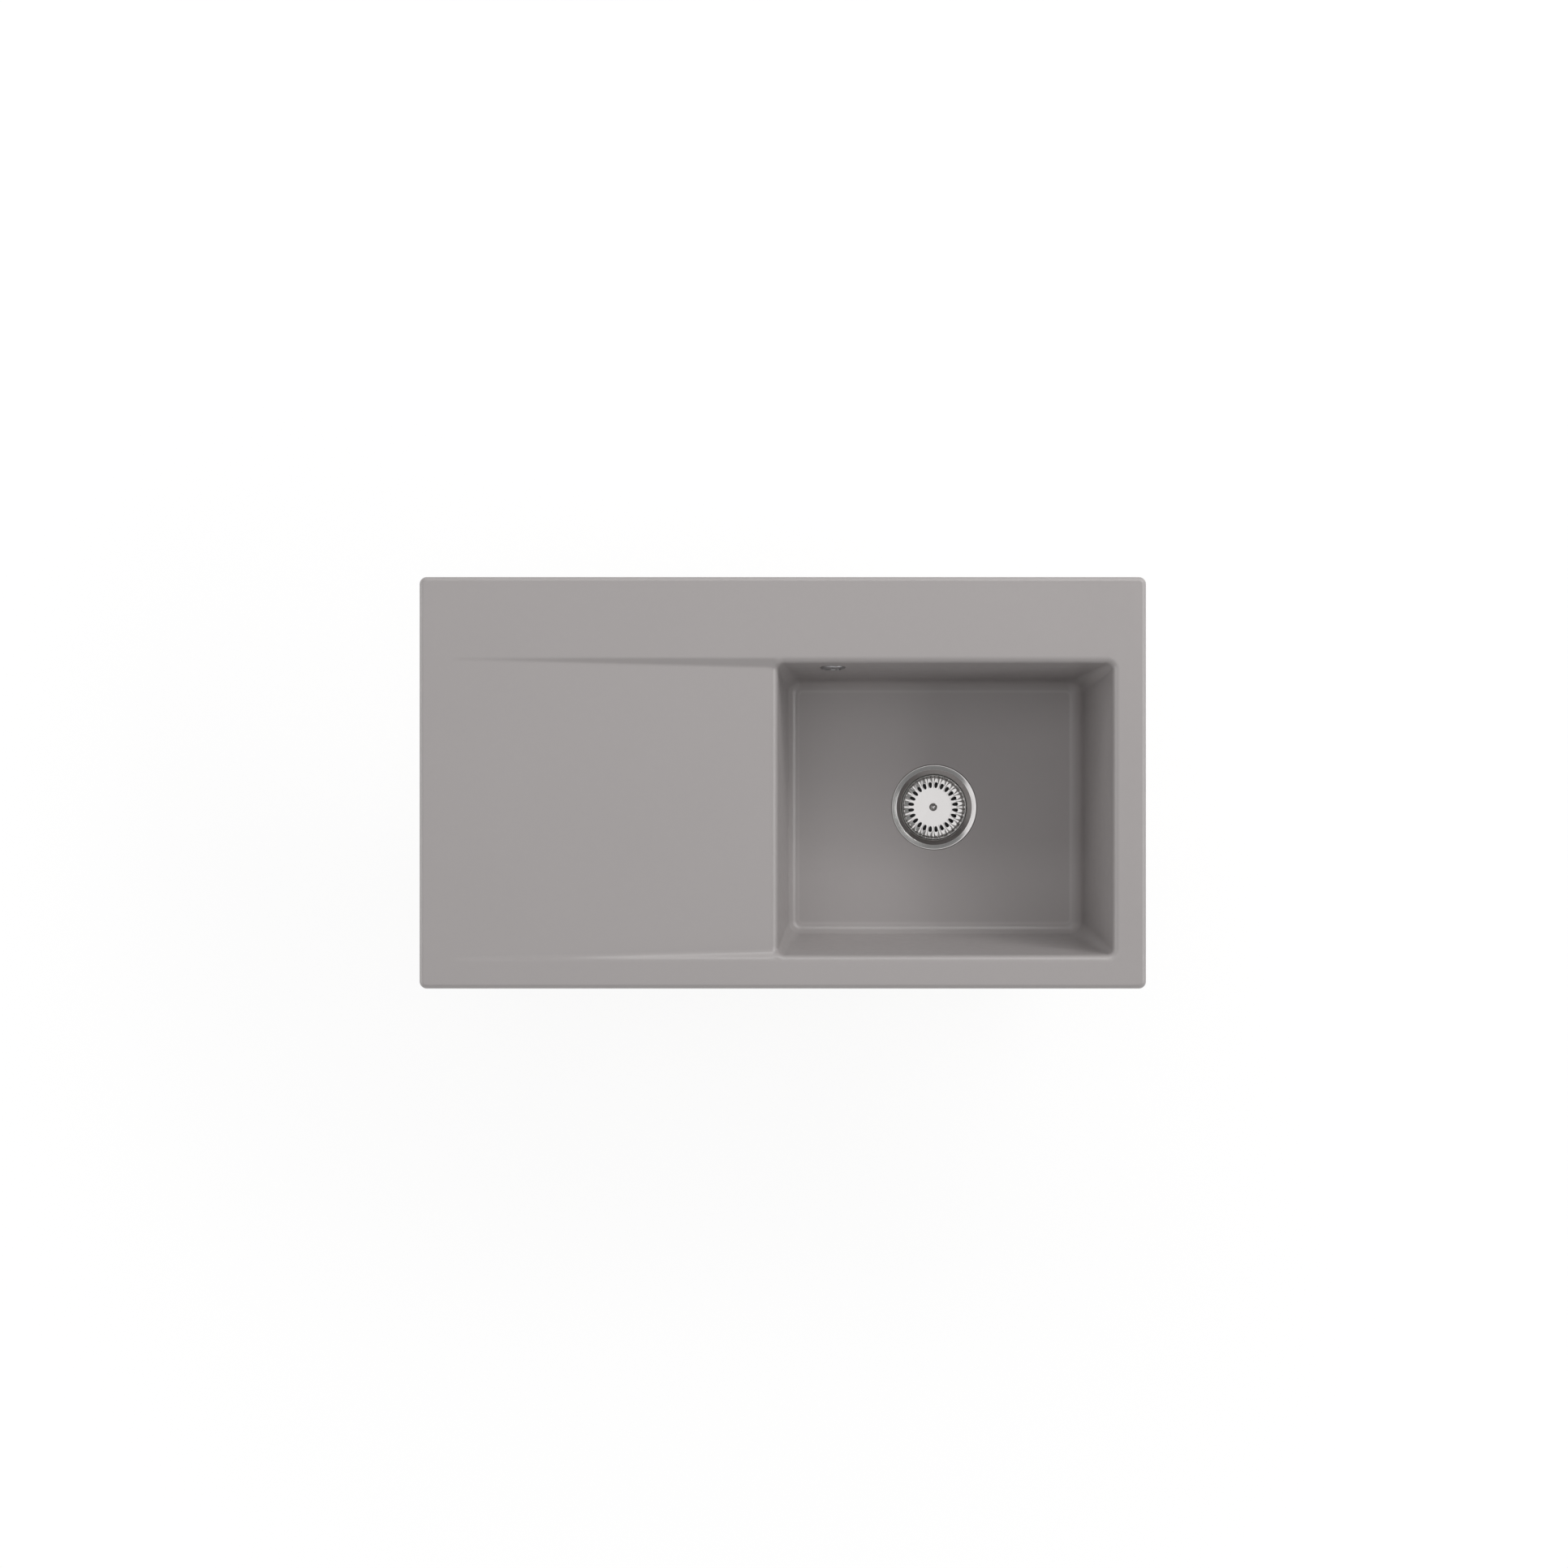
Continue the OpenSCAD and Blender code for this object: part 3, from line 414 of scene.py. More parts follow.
def painted_ridge_highlight(tree, where, lighter):
    """A painted highlight: a shade above 1 that lightens the glaze in a band along the ridge round the
    bowl's floor.
    """
    centred = add(tree, "ShaderNodeVectorMath", {"operation": "SUBTRACT"}, i0=where, i1=BOWL * MM)
    split = add(tree, "ShaderNodeSeparateXYZ", Vector=centred.outputs[0])
    away = []
    for axis, half in (("X", RIDGE_HALF_X), ("Y", RIDGE_HALF_Y)):
        size = maths(tree, "ABSOLUTE", split.outputs[axis])
        away.append(maths(tree, "SUBTRACT", size, (half - RIDGE_CORNER_R) * MM))
    # How far a place lies from the ridge's line, a rounded rectangle
    outside = add(tree, "ShaderNodeCombineXYZ", X=maths(tree, "MAXIMUM", away[0], 0.0),
                  Y=maths(tree, "MAXIMUM", away[1], 0.0))
    beyond = add(tree, "ShaderNodeVectorMath", {"operation": "LENGTH"}, i0=outside.outputs[0])
    within = maths(tree, "MINIMUM", maths(tree, "MAXIMUM", *away), 0.0)
    reach = maths(tree, "ADD", beyond.outputs["Value"], within)
    gap = maths(tree, "ABSOLUTE", maths(tree, "SUBTRACT", reach, RIDGE_CORNER_R * MM))
    shade = smooth_range(tree, gap, 0.0, RIDGE_W / 2 * MM, 1 + lighter, 1.0)
    deep = maths(tree, "LESS_THAN", split.outputs["Z"], RIDGE_BELOW_Z * MM)
    return add(tree, "ShaderNodeMix", {"data_type": "FLOAT"}, i0=deep, i2=1.0, i3=shade).outputs[0]


def glaze_material():
    """Warm grey satin glaze: faint clouding, soft waves and a fine orange peel."""
    made, tree, where = start_material("warm grey glaze")
    clouds = grain(tree, where, 7.0, 0.03)
    mottle = grain(tree, where, 90.0, 0.03)
    peel = grain(tree, where, 420.0, 0.02)
    # The colour carries a painted highlight: a lighter band along the ridge round the bowl's floor
    colour = tinted(tree, (0.350, 0.331, 0.328), clouds.outputs["Shade"],
                    mottle.outputs["Shade"], peel.outputs["Shade"],
                    painted_ridge_highlight(tree, where, 0.1))
    roughness = spread(tree, mottle.outputs["Height"], 0.3, 0.36)
    normal = bumped(tree, (clouds.outputs["Height"], 0.0004), (mottle.outputs["Height"], 0.00003),
                    (peel.outputs["Height"], 0.000008))
    close_material(tree, colour, roughness, normal, IOR=1.5)
    return made


def clay_material():
    """Bare fired clay underneath: pale, dry and gritty, with darker specks."""
    made, tree, where = start_material("bare fired clay")
    clouds = grain(tree, where, 9.0, 0.2)
    grit = grain(tree, where, 500.0, 0.25)
    specks = add(tree, "ShaderNodeTexVoronoi", Vector=where, Scale=240.0)
    dots = add(tree, "ShaderNodeMapRange", i0=specks.outputs["Distance"], i1=0.05, i2=0.14,
               i3=0.6, i4=1.0)
    colour = tinted(tree, (0.60, 0.54, 0.45), clouds.outputs["Shade"], grit.outputs["Shade"],
                    dots.outputs[0])
    roughness = spread(tree, grit.outputs["Height"], 0.8, 0.95)
    normal = bumped(tree, (clouds.outputs["Height"], 0.0008), (grit.outputs["Height"], 0.00006))
    close_material(tree, colour, roughness, normal)
    return made


def turned_metal(name, colour, roughness, density, lines, centre=(BOWL.x, BOWL.y, 0), tilt=(0, 0, 0)):
    """Metal with fine turning lines round an axis, and faint clouding."""
    made, tree, where = start_material(name)
    centred = add(tree, "ShaderNodeMapping", {"vector_type": "TEXTURE"}, Vector=where,
                  Location=[c * MM for c in centre], Rotation=tilt)
    turning = add(tree, "ShaderNodeGroup", {"node_tree": TURNING}, Vector=centred.outputs[0],
                  Density=density, Shade=0.08)
    clouds = grain(tree, where, 60.0, 0.05)
    colour = tinted(tree, colour, turning.outputs["Shade"], clouds.outputs["Shade"])
    rough = spread(tree, turning.outputs["Height"], roughness * 0.8, roughness * 1.25)
    normal = bumped(tree, (turning.outputs["Height"], lines))
    close_material(tree, colour, rough, normal, Metallic=1.0)
    return made


def moulded(name, colour, roughness, shade=0.06, scale=260.0, relief=0.00003):
    """Moulded plastic or rubber: fine texture from the mould and slow flow marks."""
    made, tree, where = start_material(name)
    flow = grain(tree, where, 22.0, shade)
    skin = grain(tree, where, scale, shade * 0.7)
    colour = tinted(tree, colour, flow.outputs["Shade"], skin.outputs["Shade"])
    rough = spread(tree, skin.outputs["Height"], roughness * 0.85, min(1, roughness * 1.15))
    normal = bumped(tree, (flow.outputs["Height"], relief * 3), (skin.outputs["Height"], relief))
    close_material(tree, colour, rough, normal, IOR=1.49)
    return made


AROUND_OVERFLOW = dict(centre=OVERFLOW, tilt=(-pi / 2 - LEAN, 0, 0))
glaze = glaze_material()
clay = clay_material()
pressed_steel = turned_metal("pressed and polished steel", (0.66, 0.655, 0.645), 0.16, 1500.0, 0.000004)
turned_steel = turned_metal("turned steel", (0.64, 0.635, 0.63), 0.2, 2600.0, 0.000008)
screw_steel = turned_metal("screw steel", (0.46, 0.46, 0.455), 0.36, 2600.0, 0.000008, **AROUND_OVERFLOW)
chrome_plate = turned_metal("chrome plate", (0.46, 0.46, 0.47), 0.3, 900.0, 0.000002, **AROUND_OVERFLOW)
turned_brass = turned_metal("turned brass", (0.60, 0.40, 0.09), 0.28, 2600.0, 0.000008)
black_rubber = moulded("black rubber", (0.022, 0.022, 0.023), 0.6, 0.3, 500.0)
white_plastic = moulded("white moulded plastic", (0.78, 0.78, 0.76), 0.38)
black_plastic = moulded("black moulded plastic", (0.022, 0.022, 0.024), 0.42, 0.2)
grey_plastic = moulded("grey moulded plastic", (0.26, 0.27, 0.28), 0.45, 0.1)
red_fibre = moulded("red fibre", (0.26, 0.04, 0.02), 0.7, 0.4, 900.0, 0.00005)


# Sink body
def bowl_inside(bm):
    """The top of the sink from the waste hole up over the lip, and the drainer."""
    ring = first_ring(bm, round_waste(HOLE_R + 1, PAD_Z))
    seat_z = RECESS_Z - (SEAT_TURN_R - HOLE_R) * DISH_SLOPE
    for radius, z in ((HOLE_R + 0.3, PAD_Z + 0.3), (HOLE_R, PAD_Z + 1), (HOLE_R, seat_z - 1),
                      (HOLE_R + 0.6, seat_z + 0.4), (SEAT_TURN_R, RECESS_Z), (RECESS_R - 0.8, RECESS_Z),
                      (RECESS_R, RECESS_Z + 0.8), (RECESS_R, DRAIN_Z - 0.8),
                      (RECESS_R + 0.2, DRAIN_Z - 0.3), (RECESS_R + 0.7, DRAIN_Z)):
        ring = grow(bm, ring, round_waste(radius, z))
    # Floor, falling to the waste
    turn = pi / 2 - LEAN
    foot_in = (WALL_TOP_Z - FLOOR_Z - FOOT_R * (1 - cos(turn))) * tan(LEAN) + FOOT_R * sin(turn)
    start = [vert.co.copy() for vert in ring]
    end = rounded(HALF_X - foot_in, HALF_Y - foot_in, FOOT_CORNER_R - FOOT_R * sin(turn), FLOOR_Z)
    for share in (0.01, 0.08, 0.25, 0.5, 0.75, 0.95, 1):
        ring = grow(bm, ring, between(start, end, share))
    # Fillet, wall and lip
    for k in range(1, ROUND_STEPS + 1):
        a = turn * k / ROUND_STEPS
        inset = foot_in - FOOT_R * sin(a)
        corner = FOOT_CORNER_R - FOOT_R * (sin(turn) - sin(a))
        ring = grow(bm, ring, rounded(HALF_X - inset, HALF_Y - inset, corner,
                                      FLOOR_Z + FOOT_R * (1 - cos(a))))
    foot = [vert.co.copy() for vert in ring]
    edge = rounded(HALF_X + LIP_R, HALF_Y + LIP_R, BOWL_CORNER_R + LIP_R, 0)
    tops = [slope_z(p, RIM_T, DRAINER_X0, DRAINER_X1, DRAINER_DROP, HALF_Y + LIP_R) for p in edge]

    def lip(a):
        """Places of a ring at an angle of the lip's rounding, 0 where it stands upright."""
        out = LIP_R * (1 - cos(a))
        places = rounded(HALF_X + out, HALF_Y + out, BOWL_CORNER_R + out, 0)
        return [Vector((p.x, p.y, top - LIP_R * (1 - sin(a)))) for p, top in zip(places, tops)]

    for share in (0.02, 0.35, 0.7, 0.96):
        ring = grow(bm, ring, between(foot, lip(LEAN), share))
    for k in range(ROUND_STEPS + 1):
        ring = grow(bm, ring, lip(LEAN + (pi / 2 - LEAN) * k / ROUND_STEPS))
    # Left of the bowl the lip runs into the drainer, elsewhere into the flat rim
    left = ring[QUARTER:2 * QUARTER + CORNER_STEPS + 1]
    right = ring[2 * QUARTER + CORNER_STEPS:] + ring[:QUARTER + 1]
    draw_out(bm, left, DRAINER_X0, RIM_T, HALF_Y + LIP_R, -SINK_D / 2)
    beside = rounded(HALF_X + LIP_R + 1.5, HALF_Y + LIP_R + 1.5, BOWL_CORNER_R + LIP_R + 1.5, RIM_T)
    beside = beside[2 * QUARTER + CORNER_STEPS:] + beside[:QUARTER + 1]
    grow(bm, right, beside, closed=False)


def rim_outside(bm):
    """The rim's rounded outer edge, its side, and the skirt below it."""
    origin = Vector()
    full = radians(82)
    low = RIM_T - EDGE_R * sin(full)
    ring = None
    steps = []
    for k in range(ROUND_STEPS + 1):
        a = full * (1 - k / ROUND_STEPS)
        steps.append((RIM_HALF, EDGE_R * (1 - cos(a)), low + EDGE_R * sin(a)))
    steps += [(RIM_HALF, 0, 3), (RIM_HALF, 0, 1.5), (RIM_HALF, 0.15, 0.75), (RIM_HALF, 0.55, 0.25),
              (RIM_HALF, 1.2, 0), (RIM_HALF, 2.5, 0)]
    for half, inset, z in steps:
        places = rounded(half[0] - inset, half[1] - inset, RIM_CORNER_R - inset, z, origin)
        ring = grow(bm, ring, places) if ring else first_ring(bm, places)
    outer = [(-3, 0), (-2, 0), (-1, -0.3), (-0.3, -1), (0, -2), (0, 3 - SKIRT_H), (0.4, 1.5 - SKIRT_H),
             (1.5, 0.4 - SKIRT_H), (3, -SKIRT_H)]
    inner = [(SKIRT_T - inset, z) for inset, z in reversed(outer)]
    for inset, z in outer + inner:
        ring = grow(bm, ring, rounded(SKIRT_HALF[0] - inset, SKIRT_HALF[1] - inset,
                                      SKIRT_CORNER_R - 0.9 * inset, z, origin))


def bowl_outside(bm):
    """The underside: drainer belly, outside of the bowl, and the flat round the waste."""
    def out(z):
        """How far the outside lies beyond the top of the inside walls at a height."""
        return WALL_T / cos(LEAN) - (WALL_TOP_Z - z) * tan(LEAN)

    fillet, corner = 6, BOWL_CORNER_R + WALL_T
    edge = rounded(HALF_X + out(0) + fillet, HALF_Y + out(0) + fillet, corner + fillet, 0)
    half = HALF_Y + out(0) + fillet
    tops = [slope_z(p, 0, BELLY_X0, DRAINER_X1, BELLY_DROP, half) for p in edge]
    # The fillet stops short of the skirt
    short = 3.2
    most_x = SKIRT_HALF[0] - SKIRT_T - short
    least_y = SKIRT_T + short - SKIRT_HALF[1]

    def ring_at(drop, more, radius):
        """Places of a ring a drop below the underside, further out by more."""
        places = rounded(HALF_X + out(-drop) + more, HALF_Y + out(-drop) + more, radius, 0)
        return [Vector((min(p.x, most_x), max(p.y, least_y), top - drop)) for p, top in zip(places, tops)]

    ring = first_ring(bm, ring_at(0, fillet, corner + fillet))
    left = ring[QUARTER:2 * QUARTER + CORNER_STEPS + 1]
    draw_out(bm, left, BELLY_X0, 0, half, least_y)
    for k in range(1, 7):
        a = pi / 2 * k / 6
        ring = grow(bm, ring, ring_at(fillet * (1 - cos(a)), fillet * (1 - sin(a)),
                                      corner + fillet * (1 - sin(a))))
    under_z = FLOOR_Z - FLOOR_T
    heel = FOOT_R + WALL_T
    turn = pi / 2 - LEAN
    wall_z = under_z + heel * (1 - cos(turn))
    foot = rounded(HALF_X + out(wall_z), HALF_Y + out(wall_z), FOOT_CORNER_R + WALL_T, wall_z)
    start = [vert.co.copy() for vert in ring]
    for share in (0.03, 0.35, 0.7, 0.97, 1):
        ring = grow(bm, ring, between(start, foot, share))
    for k in range(ROUND_STEPS - 1, -1, -1):
        a = turn * k / ROUND_STEPS
        inset = heel * (sin(turn) - sin(a))
        ring = grow(bm, ring, rounded(HALF_X + out(wall_z) - inset, HALF_Y + out(wall_z) - inset,
                                      FOOT_CORNER_R + WALL_T - inset, under_z + heel * (1 - cos(a))))
    start = [vert.co.copy() for vert in ring]
    end = round_waste(PAD_R + 3, under_z)
    for share in (0.03, 0.5, 0.97, 1):
        ring = grow(bm, ring, between(start, end, share))
    for radius, z in ((PAD_R + 1, under_z - 0.2), (PAD_R + 0.2, under_z - 1), (PAD_R, PAD_Z + 1.2),
                      (PAD_R - 0.4, PAD_Z + 0.4), (PAD_R - 1.2, PAD_Z), (PAD_R - 4, PAD_Z),
                      (HOLE_R + 3, PAD_Z), (HOLE_R + 1, PAD_Z)):
        ring = grow(bm, ring, round_waste(radius, z))


def knock_outs(bm):
    """Two blind holes under the ledge, for taps that are knocked through."""
    for x, y in TAPS:
        ring = None
        for radius, z in ((TAP_R + 1, 0), (TAP_R + 0.3, 0.3), (TAP_R, 1), (TAP_R, TAP_DEEP - 2),
                          (TAP_R - 0.6, TAP_DEEP - 0.6), (TAP_R - 2, TAP_DEEP), (2, TAP_DEEP)):
            turns = [2 * pi * k / 48 for k in range(48)]
            places = [Vector((x + radius * cos(a), y + radius * sin(a), z)) for a in turns]
            ring = grow(bm, ring, places) if ring else first_ring(bm, places)
        bmesh.ops.contextual_create(bm, geom=ring)


def make_sink():
    """Fired clay sink in one piece, glazed above and bare underneath."""
    bm = bmesh.new()
    bowl_inside(bm)
    rim_outside(bm)
    bmesh.ops.remove_doubles(bm, verts=bm.verts, dist=0.002)
    fill_flat(bm, RIM_T)
    # A softer blend where the bowl's left corners run into the drainer
    corners = [
        v for v in bm.verts
        if v.co.z > -3 and DRAINER_X1 - 13 < v.co.x < 8
        and HALF_Y - 26 < abs(v.co.y - BOWL.y) < HALF_Y + LIP_R - 0.2
    ]
    for _ in range(4):
        bmesh.ops.smooth_vert(bm, verts=corners, factor=0.5, use_axis_x=True, use_axis_y=True,
                              use_axis_z=True)
    glazed = set(bm.faces)
    bowl_outside(bm)
    knock_outs(bm)
    bmesh.ops.remove_doubles(bm, verts=bm.verts, dist=0.002)
    fill_flat(bm, 0)
    for face in bm.faces:
        face.material_index = 0 if face in glazed else 1
    cutter = bmesh.new()
    rod(cutter, OVERFLOW_HOLE_R, -WALL_T, 2 * WALL_T, 64, OUTWARD)
    return make_piece("sink_ceramic", carve(bm, cutter), "sink", [glaze, clay], ["sink_body"])


# Strainer
AT_WASTE = Matrix.Translation(BOWL)
PORTS, PORT_HOLE_R, PORT_CIRCLE_R, SCREW_HOLE_R = 6, 8, 22, 5.1


def at_height(profile, z):
    """A profile of (radius, height) points, lifted by a height."""
    return [(r, z + up) for r, up in profile]


def make_flange():
    """Pressed flange with its rolled edge, dish and cup, and the ports below."""
    profile = at_height([
        (56.5, -1.2), (56.5, -0.6), (56.35, -0.25), (56.1, -0.06), (55.8, 0), (55.4, -0.08),
        (54.6, -0.34), (53.4, -0.76), (51.8, -1.33), (50.3, -1.87), (50.12, -1.95),
        (49.96, -2.07), (48.2, -3.5), (46.6, -4.82), (45.0, -6.14), (44.0, -7.0), (43.4, -7.7),
        (43.0, -8.7), (42.8, -10.2), (42.8, -36), (42.4, -38), (41.4, -39.4), (39.8, -40),
        (0, -40), (0, -41.2), (40.6, -41.2), (42.6, -40.2), (43.6, -38.6), (44, -36.5),
        (44, -10.8), (44.5, -8.5), (46.2, -6.8), (49.6, -4.0), (52.2, -2.4), (54.2, -1.5),
    ], FLANGE_Z)
    cutter = bmesh.new()
    low, high = FLANGE_Z - 44, FLANGE_Z - 38
    for i in range(PORTS):
        turn = Matrix.Rotation(i * 2 * pi / PORTS, 4, "Z")
        rod(cutter, PORT_HOLE_R, low, high, 40, turn @ Matrix.Translation((PORT_CIRCLE_R, 0, 0)))
    rod(cutter, SCREW_HOLE_R, low, high, 40)
    bm = carve(spun(bmesh.new(), profile, 128), cutter)
    return make_piece("strainer_pressing", bm, "sink", [pressed_steel],
                      ["strainer_flange"], AT_WASTE)


def step_up(value, low, high):
    """Goes smoothly from 0 at low to 1 at high."""
    t = max(0, min(1, (value - low) / (high - low)))
    return t * t * (3 - 2 * t)


def basket_relief(r, turn):
    """How far the pressing stands above or below the plain floor: rounded ribs
    between the slots, and outside each slot a raised pad between two grooves."""
    pitch = 2 * pi / SLOTS
    from_middle = r * abs(turn % pitch - pitch / 2)
    from_rib = r * pitch / 2 - from_middle
    rib = -RIB_CROWN * min(1, from_rib / RIB_HALF_W) ** 2
    rib *= step_up(r, 24, 26.5) * step_up(r, 34.4, 32.8)
    reach = max(0, r - PAD_END_R + PAD_ROUND_R) / PAD_ROUND_R
    half_w = PAD_HALF_W * max(0, 1 - reach * reach) ** 0.5
    crown = 1 - 0.35 * (from_middle / PAD_HALF_W) ** 2
    pad = PAD_SLOPE * max(0, r - PAD_START_R) * crown
    pad *= step_up(from_middle, half_w + 0.2, half_w - 0.8)
    steps = from_middle / (r * pitch / BASKET_STEPS)
    groove = -GROOVE_DEEP * max(0, 1 - abs(steps - GROOVE_STEP))
    groove *= step_up(r, 31.5, 33.4) * step_up(r, 40, 38.6)
    return rib + pad + groove


def slot_place(a):
    """A place on a slot's outline, which is wider further out and has round ends."""
    half_w = (SLOT_HALF_W + SLOT_TAPER * cos(a)) * abs(sin(a)) ** (-0.3 - 0.15 * cos(a))
    return Vector((SLOT_MIDDLE_R + SLOT_HALF_L * cos(a), half_w * sin(a), BASKET_Z - 3))


def make_basket():
    """Basket: flat floor with tapered slots, pressed pads, steep side, rolled rim."""
    floor = (2.4, 8, 14, 20, 24, 24.7, 25.4, 26.2, 27.2, 28.4, 29.6, 30.8, 32, 32.8, 33.4, 34,
             34.6, 35.3, 36, 36.7, 37.4, 38, 38.6)
    profile = [(r, 0) for r in floor]
    profile += [(39.2, 0.1), (39.7, 0.35), (40.05, 0.9), (40.3, 1.8), (40.5, 3.2), (40.8, 5.5),
                (41.2, 8.5), (41.55, 11.4), (41.7, 12.6), (41.85, 13.3), (42.05, 13.8),
                (42.25, 13.85), (42.4, 13.5), (42.45, 12.6)]
    bm = bmesh.new()
    verts = [bm.verts.new((r, 0, z)) for r, z in profile]
    edges = [bm.edges.new(pair) for pair in zip(verts, verts[1:])]
    bmesh.ops.spin(bm, geom=verts + edges, cent=(0, 0, 0), axis=(0, 0, 1), angle=2 * pi,
                   steps=SLOTS * BASKET_STEPS, use_merge=True)
    for vert in bm.verts:
        r = vert.co.xy.length
        relief = basket_relief(r, atan2(vert.co.y, vert.co.x))
        vert.co.z += BASKET_Z + relief * step_up(r, 40.5, 39.8)
    bmesh.ops.recalc_face_normals(bm, faces=bm.faces)
    if sum(face.normal.z for face in bm.faces) < 0:
        bmesh.ops.reverse_faces(bm, faces=bm.faces)
    bmesh.ops.solidify(bm, geom=bm.faces[:], thickness=0.7)
    cutter = bmesh.new()
    for i in range(SLOTS):
        turn = Matrix.Rotation((i + 0.5) * 2 * pi / SLOTS, 4, "Z")
        outline = [turn @ slot_place(2 * pi * (k + 0.5) / 32) for k in range(32)]
        slot = first_ring(cutter, outline)
        face = bmesh.ops.contextual_create(cutter, geom=slot)["faces"][0]
        made = bmesh.ops.extrude_face_region(cutter, geom=[face])["geom"]
        top = [item for item in made if isinstance(item, bmesh.types.BMVert)]
        bmesh.ops.translate(cutter, vec=(0, 0, 8), verts=top)
    return make_piece("strainer_basket", carve(bm, cutter), "basket", [pressed_steel],
                      ["basket"], AT_WASTE)


def make_knob():
    """Turned knob with its waist, foot and stem."""
    profile = at_height([
        (0, -10.4), (2.3, -10.4), (2.5, -10), (2.5, 0), (5.1, 0), (5.3, 0.2), (5.2, 0.7), (4.9, 1.2),
        (4.2, 2.0), (3.4, 3.2), (2.7, 4.8), (2.4, 6.0), (2.4, 9.2), (2.6, 10.2), (3.0, 10.9),
        (3.1, 11.6), (3.1, 12.4), (2.95, 13.1), (2.5, 13.7), (1.8, 14.15), (0.9, 14.4), (0, 14.5),
    ], BASKET_Z)
    return make_piece("strainer_knob", spun(bmesh.new(), profile, 64), "basket",
                      [turned_steel], ["basket_knob"], AT_WASTE)


# Overflow
AT_OVERFLOW = Matrix.Translation(OVERFLOW) @ Matrix.Rotation(pi / 2 - LEAN, 4, "X")


def make_overflow_cover():
    """Domed cap with a turned-back edge and six holes round the screw."""
    profile = [
        (2.7, 0.9), (2.7, 2.75), (3.0, 2.95), (3.6, 3.0), (6, 3.0), (9, 2.94), (11, 2.8), (12.6, 2.56),
        (13.8, 2.2), (14.8, 1.68), (15.5, 1.1), (15.9, 0.62), (16, 0.35), (15.95, 0.15), (15.75, 0.05),
        (15.5, 0.1), (15.45, 0.3), (15.45, 0.9),
    ]
    cutter = bmesh.new()
    for i in range(6):
        turn = Matrix.Rotation((i + 0.5) * pi / 3, 4, "Z")
        rod(cutter, 2.7, 0, 5, 40, turn @ Matrix.Translation((9, 0, 0)))
    bm = soften(carve(spun(bmesh.new(), profile, 96), cutter), 0.25)
    return make_piece("overflow_cap", bm, "sink", [chrome_plate], ["overflow_cover"],
                      AT_OVERFLOW)


def make_overflow_screw():
    """Low domed screw head with a slot, on its shank."""
    profile = [(0, -16), (2.1, -16), (2.4, -15.7), (2.4, 3), (4.3, 3), (4.4, 3.1), (4.35, 3.35),
               (4.0, 3.75), (3.3, 4.15), (2.3, 4.42), (1.2, 4.55), (0, 4.6)]
    cutter = bmesh.new()
    block(cutter, (-6, -0.45, 3.7), (6, 0.45, 6))
    bm = carve(spun(bmesh.new(), profile, 64), cutter)
    return make_piece("overflow_slotted_screw", bm, "sink", [screw_steel],
                      ["overflow_screw"], AT_OVERFLOW)


# Under the sink: the pipe, the sockets at its ends, and the waste body
PIPE_R, PIPE_BORE_R, BEND_R = 11, 9, 30
SOCKET_R, SOCKET_BORE_R, COLLAR_R = 13.9, 11.1, 15.4
PORT_A = atan2(PIPE.y - BOWL.y, PIPE.x - BOWL.x)
PORT_END = 75
BODY_TOP_Z, OUTLET_R, OUTLET_END_Z = -213, 23.9, -292
GUSSETS, WEBS = 12, 8
TO_PIPE = Matrix.Translation((PIPE.x, PIPE.y, 0))
ALONG_PIPE = TO_PIPE @ Matrix.Rotation(PORT_A + pi, 4, "Z")
PIPE_RUN = (PIPE - Vector((BOWL.x, BOWL.y, 0))).length
ALONG_PORT = (Matrix.Translation((0, 0, PORT_Z)) @ Matrix.Rotation(PORT_A, 4, "Z")
              @ Matrix.Rotation(pi / 2, 4, "Y"))
# Clamp screw
SCREW_TOP_Z, HEAD_H, HEAD_R, SHANK_R, SHANK_L, PIN_HOLE_R, PIN_HOLE_DEEP = -230, 5, 8, 5, 28, 3.3, 21
# Pitch and depth of each thread
OUTLET_THREAD, SOCKET_THREAD, SCREW_THREAD = (2.31, 1.3), (2.0, 0.9), (1.5, 0.7)


def cut_thread(bm, radius, low, high, pitch, deep):
    """Sinks a helical thread into the points of a turned surface."""
    for vert in bm.verts:
        x, y, z = vert.co
        if abs(vert.co.xy.length - radius) > 0.05 or not low <= z <= high:
            continue
        turn = (z / pitch - atan2(y, x) / (2 * pi)) % 1
        groove = min(1, max(0, 1.6 * abs(2 * turn - 1) - 0.3))
        groove *= step_up(min(z - low, high - z), 0, 0.6)
        vert.co.xy *= 1 - deep * groove / radius


def column(radius, low, high, step=0.26):
    """Points straight up a turned surface, close enough together for a thread."""
    count = round((high - low) / step)
    return [(radius, low + (high - low) * k / count) for k in range(count + 1)]


